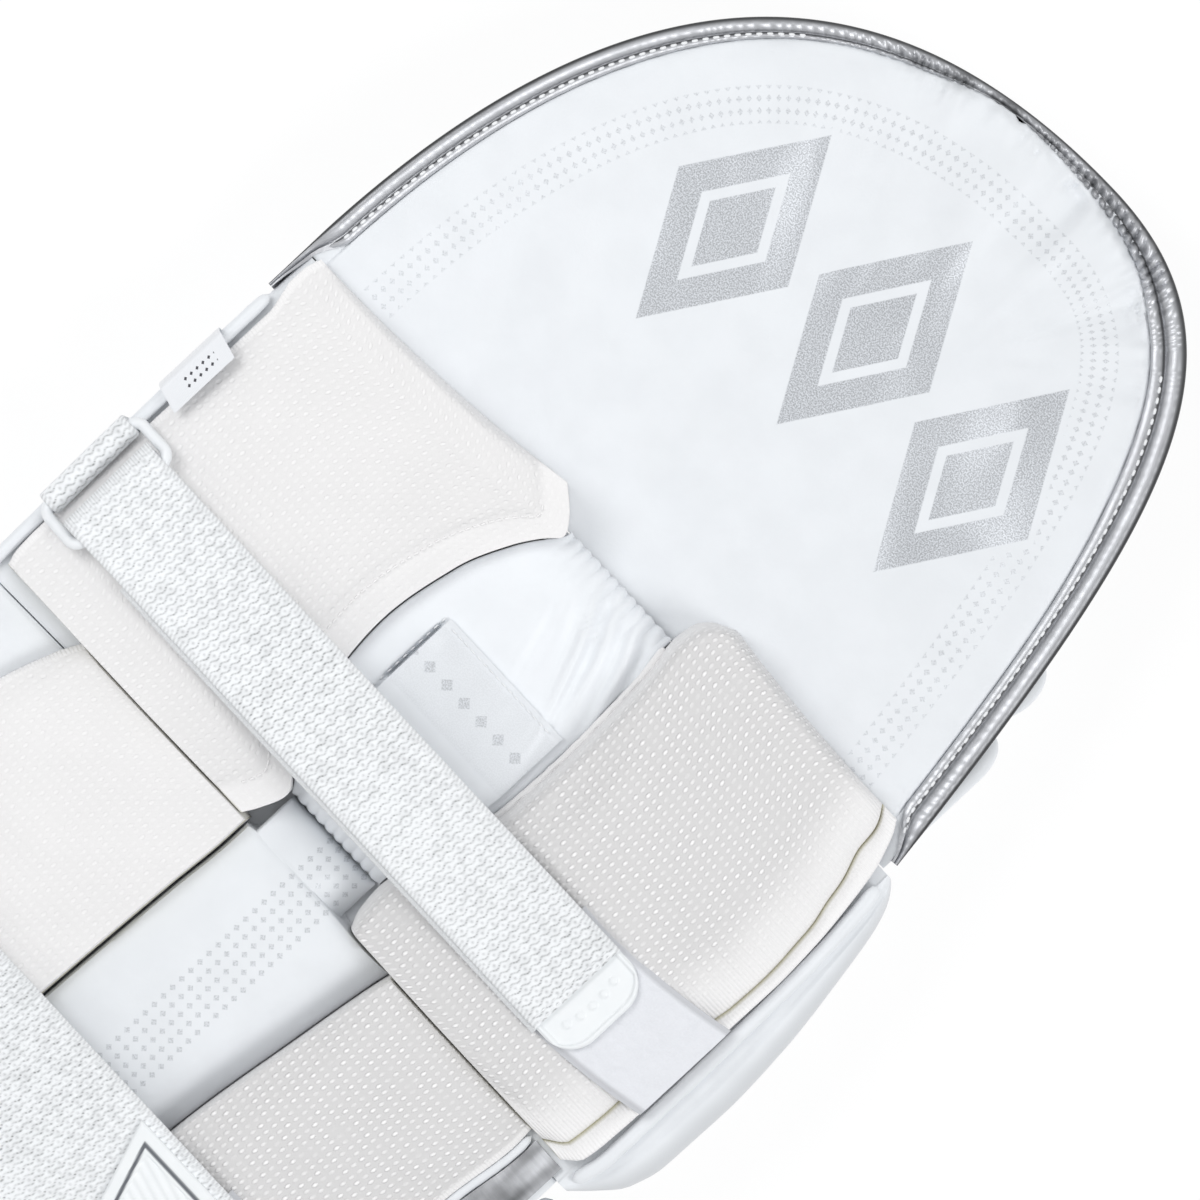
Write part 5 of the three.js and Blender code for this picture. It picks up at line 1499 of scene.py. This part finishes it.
def build_shin_panel(context):
    below = rolled_steps(SHIN_PANEL["foot"], SHIN_PANEL["neck_foot"] + 20, 20, 8, 130)
    below = below[below < SHIN_PANEL["neck_foot"]]
    neck = np.linspace(SHIN_PANEL["neck_foot"], SHIN_PANEL["neck_head"], 6)
    above = np.linspace(SHIN_PANEL["neck_head"], SHIN_PANEL["head"], 12)[1:]
    row = np.concatenate([below, neck, above])[:, None]
    column = rolled_steps(0, 1, 0.3, 12, 16)[None, :]
    y, column = np.broadcast_arrays(row, column)
    left, right = panel_edges(y)
    x = lerp(left, right, column)
    ends = np.minimum(SHIN_PANEL["head"] - y, y - SHIN_PANEL["foot"])
    sides = roll(x - left, SHIN_PANEL["left_roll"]) * roll(right - x, SHIN_PANEL["right_roll"], 1.5)
    sides = sides * roll(ends, SHIN_PANEL["roll"])
    low = inner_at(x, y) + GAP
    high = low + SHIN_PANEL["rim"] + SHIN_PANEL["swell"] * sides
    high = high + 0.4 * hills(x, y, 30, 81) * smoothstep(sides, 0.4, 0.9)
    high = high + puffed(x, y, high, low, PANEL_PUFF)
    maps = {"UVMap": np.stack([x, y], axis=-1) * MM}
    leather = finish_of(context, "panel_leather")
    piece = slab("shin_panel_pad", x, y, high, low, leather, maps=maps, below=PLAIN_BELOW)
    settle(piece, "white_leather", "shin_panel")
    row = np.linspace(LINING["foot"], LINING["head"], 190)[:, None]
    column = np.linspace(0, 1, 18)[None, :]
    y, column = np.broadcast_arrays(row, column)
    start = along(SHIN_RIGHT, "outer", y) + LINING["start"]
    end = along(TROUGH, "right", y) - LINING["inset"]
    x = lerp(start, end, column)
    inside = np.sin(math.pi * column)
    low = shell_top_at(x, y) + GAP
    high = low + LINING["thickness"] + 0.3 * inside * (hills(x, y, 9, 82) + 0.5 * hills(x, y, 4, 83))
    # Painted shade and painted dark reflection in streaks across the lining foil
    shade_streaks = 0.45 + 0.25 * hills(x, 0.2 * y, 2.2, 84) + 0.2 * hills(x, 0.4 * y, 6, 85)
    foil = finish_of(context, "silver_leather")
    piece = slab("side_lining_foil", x, y, high, low, foil, {"under": shade_streaks})
    settle(piece, "silver_leather", "side_lining")


# Straps
def taut(points):
    """The line that a taut strap takes over points it may not sink below."""
    line = []
    for x, z in points:
        while len(line) > 1:
            (ax, az), (bx, bz) = line[-2:]
            if (bx - ax) * (z - az) - (bz - az) * (x - ax) < 0:
                break
            line.pop()
        line.append((x, z))
    return np.array(line)


def height_on(line, x):
    return np.interp(x, line[:, 0], line[:, 1])


def strap_plan(strap):
    """Where each piece of a strap set lies, before its lean along the leg and its root's slant."""
    low, high = strap["low"], strap["high"]
    middle = (low + high) / 2
    part = "knee" if strap["name"] == "knee" else "shin"
    left = BOLSTERS[f"{part}_bolster_left"]
    right = BOLSTERS[f"{part}_bolster_right"]

    def crown_rise(bolster):
        return crown_at(bolster, bolster["middle"], high) - crown_at(bolster, bolster["middle"], low)

    lean = (crown_rise(left) + crown_rise(right)) / 2 / (high - low)
    slant = float(along(TROUGH, "left", np.array(high)) - along(TROUGH, "left", np.array(low))) / (high - low)
    edge = float(along(TROUGH, "left", np.array(middle)))
    bar = edge + RING_INNER
    tab_bar = edge + RING_OUTER
    start = bar + WEB_SLACK
    ys = np.linspace(low, high, 5)

    def over_left(x):
        return float(np.max(crown_at(left, x, ys) - lean * (ys - middle))) + GAP

    bar_height = over_left(start) + ROD_RADIUS + ROD_CLEAR + WEB_LAYER
    edge_x = along(TROUGH, "left", ys) + PIPING_INSET
    piping_top = float(np.max(piping_height(edge_x, ys) - lean * (ys - middle))) + PIPING_RADIUS
    tab_height = piping_top + GAP + ROD_RADIUS + ROD_CLEAR + TAB_THICKNESS

    def patch_middle(x):
        return middle + strap["swing"] * np.maximum(0, x - strap["patch_from"] - SWING_START) ** 2

    def over_right(x):
        half = (high - low) / 2 + LOOP_SPARE
        y = np.linspace(patch_middle(x) - half, patch_middle(x) + half, 5)
        outer = along(right["edges"], "outer", y)
        if "welt" in right["edges"]:
            past = inner_at(x, y) + GAP + WELT_HEIGHT
        else:
            past = shell_top_at(x, y) + GAP + LINING["thickness"]
        return float(np.max(np.where(x < outer, crown_at(right, x, y), past) - lean * (y - middle))) + GAP

    patch_line = taut([(x, over_right(x)) for x in np.linspace(strap["patch_from"], strap["patch_to"], 17)])
    left_end = float(along(left["edges"], "inner", np.array(middle))) - BOLSTER_ROLL / 2
    bed = [(start, bar_height - WEB_LAYER)]
    bed += [(x, over_left(x)) for x in np.linspace(start, left_end, 5)[1:]]
    for x in np.linspace(strap["patch_from"] - 1, strap["end"], 4):
        bed.append((x, float(height_on(patch_line, x)) + LOOP_THICKNESS + GAP))

    def lay(points):
        """Brings points of the set to its lean and slant."""
        points = np.array(points, float)
        across = points[..., 1] - middle
        root = 1 - smoothstep(points[..., 0], start, start + ROOT_RUN)
        points[..., 0] += slant * across * root
        points[..., 2] += lean * across
        return points

    return {
        "low": low, "high": high, "middle": middle, "bar": bar, "tab_bar": tab_bar, "start": start,
        "bar_height": bar_height, "tab_height": tab_height, "web_line": taut(bed), "patch_line": patch_line,
        "patch_middle": patch_middle, "lay": lay,
    }


def ribbon(name, path, foot, head, thickness, material, lay, columns=8, relief_of=None):
    """A band of one thickness along a side view in X and Z, drawn out along the leg."""
    tangent = np.gradient(path, axis=0)
    tangent /= np.linalg.norm(tangent, axis=1)[:, None]
    normal = np.stack([-tangent[:, 1], tangent[:, 0]], axis=-1)
    run = run_along(path)
    inner_y = np.linspace(foot + 0.7, head - 0.7, columns)
    top_y = np.concatenate([[foot, foot + 0.25], inner_y, [head - 0.25, head]])
    rounding = np.concatenate([[0.35, 0.8], np.ones(columns), [0.8, 0.35]])
    top = np.broadcast_to(thickness / 2 * rounding, (len(path), len(top_y))).copy()
    # Painted shade for the furrows, from the relief
    furrow_shade = np.zeros_like(top)
    if relief_of is not None:
        raised, furrow_shade = relief_of(run[:, None], top_y[None, :] - foot)
        top += raised * rounding
    low_y = np.array([head - 0.25, head - 0.7, (head + foot) / 2, foot + 0.7, foot + 0.25])
    low_rounding = np.array([0.8, 1, 1, 1, 0.8])
    bottom = np.broadcast_to(-thickness / 2 * low_rounding, (len(path), 5))
    offset = np.concatenate([top, bottom], axis=1)
    y = np.concatenate([top_y, low_y])
    x = path[:, None, 0] + normal[:, None, 0] * offset
    z = path[:, None, 1] + normal[:, None, 1] * offset
    furrow_shade = np.concatenate([np.broadcast_to(furrow_shade, top.shape), np.zeros(bottom.shape)], axis=1)
    loops = lay(stack(x, np.broadcast_to(y, x.shape), z))
    return loops_object(name, loops, material, values={"furrow_shade": furrow_shade})


def laid_plate(name, plan, x, y, high, low, material, values=None):
    """A flat piece of a strap set, brought to the set's lean and slant."""
    top = plan["lay"](stack(x, y, high))
    floor = plan["lay"](stack(x, y, low))
    return slab(
        name, top[..., 0], top[..., 1], top[..., 2], floor[..., 2], material, values, below=PLAIN_BELOW
    )


def weave_of(pitch, depth, plain_run, wide):
    """Heights of woven rows: chains of rings parted by wavy furrows, between ribbed selvedges, each with the
    painted shade for the furrows.
    """
    width = WEAVE_WIDTH * pitch
    sway = WEAVE_SWAY * pitch

    def heights(run, across):
        turn = 2 * math.pi * across / width
        row = np.floor(run / pitch)
        bulge = sway * np.cos(turn + math.pi * row)
        row = row + (run > (row + 1) * pitch + bulge) - (run < row * pitch - bulge)
        bulge = sway * np.cos(turn + math.pi * row)
        from_furrow = np.minimum(run - row * pitch + bulge, (row + 1) * pitch + bulge - run)
        chain = roll(np.maximum(0, from_furrow), 0.32 * pitch)
        lengthways = run - (row + 0.5) * pitch
        ring = across / width + row / 2
        to_ring = (ring - np.round(ring)) * width
        eye = 0.45 * np.exp(-(np.hypot(to_ring, lengthways) / (0.2 * pitch)) ** 2)
        uneven = 0.12 * hills(run, across, 1.9, 93)
        ribs = 0.8 + 0.2 * np.cos(2 * math.pi * (run / SELVEDGE_PITCH + 0.25 * across))
        selvedge = 1 - smoothstep(np.minimum(across, wide - across), SELVEDGE - 0.4, SELVEDGE + 0.4)
        height = lerp(chain - eye + uneven, ribs, selvedge)
        thread = 0.75 + 0.25 * np.cos(4 * turn)
        height = lerp(thread, height, smoothstep(run, plain_run - 3, plain_run + 5))
        # The second value is the painted shade for the furrows, most where the weave lies lowest
        return depth * (height - 0.6), np.clip(1 - height, 0, 1)

    return heights


def build_webbing(context, strap, plan):
    looks = context.scene.batting_pad
    name = strap["name"]
    bar, bar_height = plan["bar"], plan["bar_height"]
    long_half = WEB_SLACK - WEB_LAYER / 2
    tall_half = ROD_RADIUS + ROD_CLEAR + WEB_LAYER / 2
    turn = np.radians(np.linspace(-90, -270, 24))
    eye = np.stack([bar + long_half * np.cos(turn), bar_height + tall_half * np.sin(turn)], axis=-1)
    tail = np.array([[plan["start"] + 6, bar_height - tall_half + 0.2]])
    knots = plan["web_line"] + (0, WEB_THICKNESS - WEB_LAYER / 2)
    knots = knots[knots[:, 0] < strap["end"]]
    end_height = float(height_on(plan["web_line"], strap["end"])) + WEB_THICKNESS - WEB_LAYER / 2
    end = np.array([[strap["end"], end_height]])
    path = np.concatenate([tail, eye, knots, end])
    pitch = looks.weave_pitch / MM
    total = line_length(path)
    path = spaced(path, int(total / pitch * strap["samples"]))
    kernel = np.ones(9) / 9
    padded = np.pad(path, ((4, 4), (0, 0)), mode="edge")
    path = np.stack([np.convolve(padded[:, axis], kernel, "valid") for axis in range(2)], axis=-1)
    columns = int((plan["high"] - plan["low"]) / pitch * strap["samples"])
    weave = weave_of(pitch, looks.weave_depth / MM, PLAIN_RUN, plan["high"] - plan["low"])
    webbing = finish_of(context, "white_webbing")
    piece = ribbon(
        f"{name}_webbing", path, plan["low"], plan["high"], WEB_LAYER, webbing, plan["lay"], columns, weave
    )
    settle(piece, "white_webbing", f"{name}_strap")
    hook = plan["web_line"] + (0, 0.6)
    hook = spaced(hook[hook[:, 0] < strap["end"] + 1], 120)
    hook = hook[6:]
    piece = ribbon(
        f"{name}_hook_tape", hook, plan["low"] - 1.6, plan["high"] - 1, 1.0, finish_of(context, "hook_tape"),
        plan["lay"], 30,
    )
    settle(piece, "white_webbing")
    ends = []
    for inset in (1.3, 3.2):
        x = strap["end"] - inset
        z = float(height_on(plan["web_line"], x)) + WEB_THICKNESS + 0.25
        y = np.linspace(plan["low"] + 1.5, plan["high"] - 1.5, 60)
        ends.append(plan["lay"](stack(np.full(60, x), y, np.full(60, z))))
    thread = finish_of(context, "white_thread")
    for number, line in enumerate(ends):
        row = stitches(f"{name}_end_stitches_{number}", line, thread, 2.4, 1.9, 0.5)
        settle(row, "white_webbing")


def build_ring(context, strap, plan):
    name = strap["name"]
    tab_end = np.array([plan["tab_bar"], plan["middle"], plan["tab_height"]])
    web_end = np.array([plan["bar"], plan["middle"], plan["bar_height"]])
    centre = (tab_end + web_end) / 2
    length = web_end - tab_end
    half_length = np.linalg.norm(length) / 2
    half_width = (plan["high"] - plan["low"]) / 2 + ROD_CLEAR + ROD_RADIUS
    length /= np.linalg.norm(length)
    across = np.array([0.0, 1.0, 0.0])
    up = np.cross(length, across)
    spots = []
    outs = []
    for sideways, lengthways, first in ((1, 1, 0), (-1, 1, 90), (-1, -1, 180), (1, -1, 270)):
        angle = np.radians(np.linspace(first, first + 90, 12))
        out = np.cos(angle)[:, None] * length + np.sin(angle)[:, None] * across
        corner = centre + sideways * (half_length - RING_CORNER) * length
        corner = corner + lengthways * (half_width - RING_CORNER) * across
        spots.append(corner + RING_CORNER * out)
        outs.append(out)
    spots = np.concatenate(spots)
    outs = np.concatenate(outs)
    angle = np.linspace(0, 2 * math.pi, 16, endpoint=False)
    loops = spots[:, None] + ROD_RADIUS * (
        np.cos(angle)[None, :, None] * outs[:, None] + np.sin(angle)[None, :, None] * up
    )
    plastic = finish_of(context, "white_plastic")
    piece = loops_object(f"{name}_loop_ring", plan["lay"](loops), plastic, ring=True)
    settle(piece, "white_plastic", f"{name}_ring")


def build_tab(context, strap, plan):
    name = strap["name"]
    radius = ROD_RADIUS + ROD_CLEAR + TAB_THICKNESS / 2
    bar, height = plan["tab_bar"], plan["tab_height"]
    turn = np.radians(np.linspace(180, -135, 60))
    loop = np.stack([bar + radius * np.cos(turn), height + radius * np.sin(turn)], axis=-1)
    rise = np.stack([np.full(20, bar - radius), np.linspace(height - TAB_LENGTH, height - 1, 20)], axis=-1)
    path = spaced(np.concatenate([rise, loop]), 110)
    looks = context.scene.batting_pad
    pitch = looks.weave_pitch / MM
    weave = weave_of(pitch, 0.7 * looks.weave_depth / MM, 0, plan["high"] - plan["low"])
    webbing = finish_of(context, "white_webbing")
    columns = int((plan["high"] - plan["low"]) / pitch * strap["samples"])
    piece = ribbon(
        f"{name}_webbing_tab", path, plan["low"], plan["high"], TAB_THICKNESS, webbing, plan["lay"], columns,
        weave,
    )
    settle(piece, "white_webbing", f"{name}_tab")


def build_loop_patch(context, strap, plan):
    name = strap["name"]
    half = (plan["high"] - plan["low"]) / 2 + LOOP_SPARE
    aside = np.linspace(-half, half, 60)[:, None]
    x = np.linspace(strap["patch_from"], strap["patch_to"], 90)[None, :]
    aside, x = np.broadcast_arrays(aside, x)
    low = height_on(plan["patch_line"], x)
    selvedge = smoothstep(half - np.abs(aside), 1.6, 2.4)
    fuzz = 0.25 * hills(x, aside, 1.6, 91) + 0.2 * hills(x, aside, 5, 92)
    high = low + 0.7 + selvedge * (0.9 + fuzz)
    y = plan["patch_middle"](x) + aside
    pile = finish_of(context, "loop_pile")
    piece = laid_plate(f"{name}_loop_pile", plan, x, y, high, low, pile, {"selvedge": 1 - selvedge})
    settle(piece, "loop_pile", f"{name}_loop_patch")


def build_tip(context, strap, plan):
    """A moulded end: a D-shaped plate with a raised rim and a row of grip bumps."""
    name = strap["name"]
    half = (plan["high"] - plan["low"]) / 2 - TIP_SPARE
    row = np.sin(np.linspace(-math.pi / 2, math.pi / 2, 90))[:, None]
    column = np.linspace(0, 1, 60)[None, :]
    row, column = np.broadcast_arrays(row, column)
    aside = row * half
    past = np.maximum(0, np.abs(aside) - (half - TIP_CORNER))
    end = strap["end"] + TIP_LENGTH - TIP_CORNER + np.sqrt(np.maximum(0, TIP_CORNER**2 - past**2))
    x = lerp(strap["end"] - 1.2, end, column)
    rim = np.minimum(end - x, half - np.abs(aside))
    plate = 1.2 + 0.9 * smoothstep(rim, 0, 0.8) * (1 - smoothstep(rim, 1.4, 2.2))
    for grip in (-0.56, -0.28, 0, 0.28, 0.56):
        far = np.hypot(x - strap["end"] - 6.6 + 4 * grip**2, aside - grip * half)
        plate = plate + 0.6 * (1 - smoothstep(far, 1.0, 1.7))
    low = height_on(plan["patch_line"], x) + LOOP_THICKNESS + GAP
    rubber = finish_of(context, "clear_rubber")
    piece = laid_plate(f"{name}_tip_plate", plan, x, plan["middle"] + aside, low + plate, low, rubber)
    settle(piece, "clear_rubber", f"{name}_strap_tip")


def build_badge(context, plan):
    """A moulded plate with a raised rim and a ribbed field."""
    y = np.linspace(BADGE["foot"], BADGE["head"], 110)[:, None]
    column = np.linspace(0, 1, 130)[None, :]
    y, column = np.broadcast_arrays(y, column)
    lean = BADGE["taper"] * (BADGE["head"] - y)
    x = lerp(BADGE["left"] + lean, BADGE["left"] + BADGE["width"] - lean, column)
    across = np.minimum(x - BADGE["left"] - lean, BADGE["left"] + BADGE["width"] - lean - x) * 0.94
    rim = np.minimum(across, np.minimum(BADGE["head"] - y, y - BADGE["foot"]))
    field = smoothstep(rim, 6, 6.6)
    ribs = 0.25 * np.sin(2 * math.pi * (y - 0.25 * np.abs(x - 60)) / 3.2)
    plate = 1.2 + 0.8 * smoothstep(rim, 0, 0.6) * (1 - smoothstep(rim, 3.6, 4.2))
    inlay = smoothstep(rim, 3.7, 4.1) * (1 - smoothstep(rim, 4.9, 5.3))
    plate = plate + 0.5 * smoothstep(rim, 5, 5.4) * (1 - smoothstep(rim, 5.9, 6.3)) + field * ribs
    low = height_on(plan["web_line"], x) + WEB_THICKNESS + 0.2
    rubber = finish_of(context, "clear_rubber")
    piece = laid_plate("calf_badge_plate", plan, x, y, low + plate, low, rubber, {"inlay": inlay})
    settle(piece, "clear_rubber", "calf_badge")


def build_label(context):
    middle = (LABEL["foot"] + LABEL["head"]) / 2
    edge = float(along(TROUGH, "left", np.array(middle)))
    seam = float(shell_top_at(np.array(edge + PIPING_INSET), np.array(middle)))
    crown = float(crown_at(BOLSTERS["knee_bolster_left"], edge + LABEL["reach"], middle))
    knots = [(edge + out, seam + up) for out, up in LABEL_RISE]
    knots += [(edge + out, crown + up) for out, up in LABEL_LIE]
    path = smooth_line(knots, 70)

    def lay(points):
        points = np.array(points, float)
        points[..., 1] -= LABEL["skew"] * (points[..., 0] - edge)
        curl = 0.6 * np.sin(math.pi * (points[..., 1] - LABEL["foot"]) / (LABEL["head"] - LABEL["foot"]))
        points[..., 2] += curl * smoothstep(points[..., 0], edge - 1, edge + 8)
        return points

    satin = finish_of(context, "white_satin")
    piece = ribbon("side_label_tag", path, LABEL["foot"], LABEL["head"], LABEL["thickness"], satin, lay, 30)
    settle(piece, "white_satin", "side_label")


# Operators
class BATTINGPAD_OT_flap(bpy.types.Operator):
    """Builds the flap above the knee, its silver binding and the stitching"""

    bl_idname = "batting_pad.flap"
    bl_label = "Flap"

    def execute(self, context):
        build_flap(context)
        build_binding(context)
        return {"FINISHED"}


class BATTINGPAD_OT_front(bpy.types.Operator):
    """Builds the pad's front: rolls, knee face with its wing, ribbed shin face and their edges"""

    bl_idname = "batting_pad.front"
    bl_label = "Front"

    def execute(self, context):
        for size in KNEE_ROLLS:
            build_knee_roll(context, size)
        build_knee_face(context)
        build_shin_face(context)
        build_edges(context)
        build_shin_binding(context)
        return {"FINISHED"}


class BATTINGPAD_OT_bolsters(bpy.types.Operator):
    """Builds the mesh bolsters beside the knee and the shin"""

    bl_idname = "batting_pad.bolsters"
    bl_label = "Bolsters"

    def execute(self, context):
        covers = {node: build_bolster(context, node) for node in BOLSTERS}
        build_bolster_trims(context, covers["knee_bolster_left"])
        return {"FINISHED"}


class BATTINGPAD_OT_panels(bpy.types.Operator):
    """Builds the gathered knee cup with its patch, the shin panel and the side lining"""

    bl_idname = "batting_pad.panels"
    bl_label = "Knee Cup and Panels"

    def execute(self, context):
        build_knee_cup(context)
        build_shin_panel(context)
        return {"FINISHED"}


class BATTINGPAD_OT_straps(bpy.types.Operator):
    """Builds the straps with their rings, tabs, loop patches and moulded ends"""

    bl_idname = "batting_pad.straps"
    bl_label = "Straps"

    def execute(self, context):
        for strap in STRAPS:
            plan = strap_plan(strap)
            build_webbing(context, strap, plan)
            build_ring(context, strap, plan)
            build_tab(context, strap, plan)
            build_loop_patch(context, strap, plan)
            build_tip(context, strap, plan)
            if strap["name"] == "calf":
                build_badge(context, plan)
        return {"FINISHED"}


class BATTINGPAD_OT_label(bpy.types.Operator):
    """Builds the folded satin tag in the left seam"""

    bl_idname = "batting_pad.label"
    bl_label = "Label"

    def execute(self, context):
        build_label(context)
        return {"FINISHED"}


# Stage: where the camera looks, how it is turned and what it takes in
VIEW_CENTRE = (-0.001, 0.1385)
VIEW_TURN = 47.0
VIEW_WIDTH = 0.383
VIEW_LEVEL = 0.045
VIEW_DISTANCE = 1.55


class BATTINGPAD_OT_stage(bpy.types.Operator):
    """Builds the floor, the soft light and the camera above the pad"""

    bl_idname = "batting_pad.stage"
    bl_label = "Stage"

    def execute(self, context):
        scene = context.scene
        mesh = bpy.data.meshes.new("floor")
        mesh.from_pydata([(-4, -4, 0), (4, -4, 0), (4, 4, 0), (-4, 4, 0)], [], [(0, 1, 2, 3)])
        floor = bpy.data.objects.new("floor", mesh)
        material, tree, shader = new_material("pale floor", 0.9, Specular_IOR_Level=0.05)
        paper = noise_of(tree, wire(tree, "ShaderNodeTexCoord").outputs["Object"], 60.0)
        tint = mixed(tree, paper, (0.16, 0.16, 0.16, 1), (0.17, 0.17, 0.17, 1))
        tree.links.new(tint, shader.inputs["Base Color"])
        shader.inputs["Emission Color"].default_value = (1, 1, 1, 1)
        shader.inputs["Emission Strength"].default_value = 0.84
        mesh.materials.append(material)
        scene.collection.objects.link(floor)

        world = bpy.data.worlds.new("soft studio")
        world.use_nodes = True
        background = world.node_tree.nodes["Background"]
        background.inputs["Color"].default_value = (0.99, 0.995, 1.0, 1)
        background.inputs["Strength"].default_value = 0.65
        scene.world = world
        for name, place_at, size, power in (
            ("key light", (-0.60, 0.02, 0.90), 0.5, 3.2),
            ("fill light", (1.5, 0.6, 1.8), 1.0, 17.0),
        ):
            light = bpy.data.lights.new(name, "AREA")
            light.shape = "DISK"
            light.size = size
            light.energy = power
            lamp = bpy.data.objects.new(name, light)
            lamp.location = place_at
            aim = np.array([0.0, 0.1, 0.05]) - np.array(place_at)
            lamp.rotation_euler = (
                math.acos(-aim[2] / np.linalg.norm(aim)), 0, math.atan2(-aim[0], aim[1])
            )
            scene.collection.objects.link(lamp)

        lens = bpy.data.cameras.new("camera")
        lens.sensor_width = 36
        lens.lens = 36 * (VIEW_DISTANCE - VIEW_LEVEL) / VIEW_WIDTH
        lens.clip_end = 20
        camera = bpy.data.objects.new("camera", lens)
        camera.location = (*VIEW_CENTRE, VIEW_DISTANCE)
        camera.rotation_euler = (0, 0, math.radians(VIEW_TURN))
        scene.collection.objects.link(camera)
        scene.camera = camera
        scene.view_settings.view_transform = "Standard"
        return {"FINISHED"}


class BATTINGPAD_PT_panel(bpy.types.Panel):
    """Lists the pad's pieces and the looks that can be changed"""

    bl_idname = "BATTINGPAD_PT_panel"
    bl_label = "Batting Pad"
    bl_space_type = "VIEW_3D"
    bl_region_type = "UI"
    bl_category = "Batting Pad"

    def draw(self, context):
        looks = context.scene.batting_pad
        for name in PadLooks.__annotations__:
            self.layout.prop(looks, name)
        for operator in OPERATORS:
            self.layout.operator(operator.bl_idname)


OPERATORS = (
    BATTINGPAD_OT_stage,
    BATTINGPAD_OT_flap,
    BATTINGPAD_OT_front,
    BATTINGPAD_OT_bolsters,
    BATTINGPAD_OT_panels,
    BATTINGPAD_OT_straps,
    BATTINGPAD_OT_label,
)
CLASSES = (PadLooks, *OPERATORS, BATTINGPAD_PT_panel)


def register():
    for cls in CLASSES:
        bpy.utils.register_class(cls)
    bpy.types.Scene.batting_pad = bpy.props.PointerProperty(type=PadLooks)


def unregister():
    del bpy.types.Scene.batting_pad
    for cls in reversed(CLASSES):
        bpy.utils.unregister_class(cls)


def main():
    register()
    bpy.ops.batting_pad.stage()
    bpy.ops.batting_pad.flap()
    bpy.ops.batting_pad.front()
    bpy.ops.batting_pad.bolsters()
    bpy.ops.batting_pad.panels()
    bpy.ops.batting_pad.straps()
    bpy.ops.batting_pad.label()


if __name__ == "__main__":
    main()
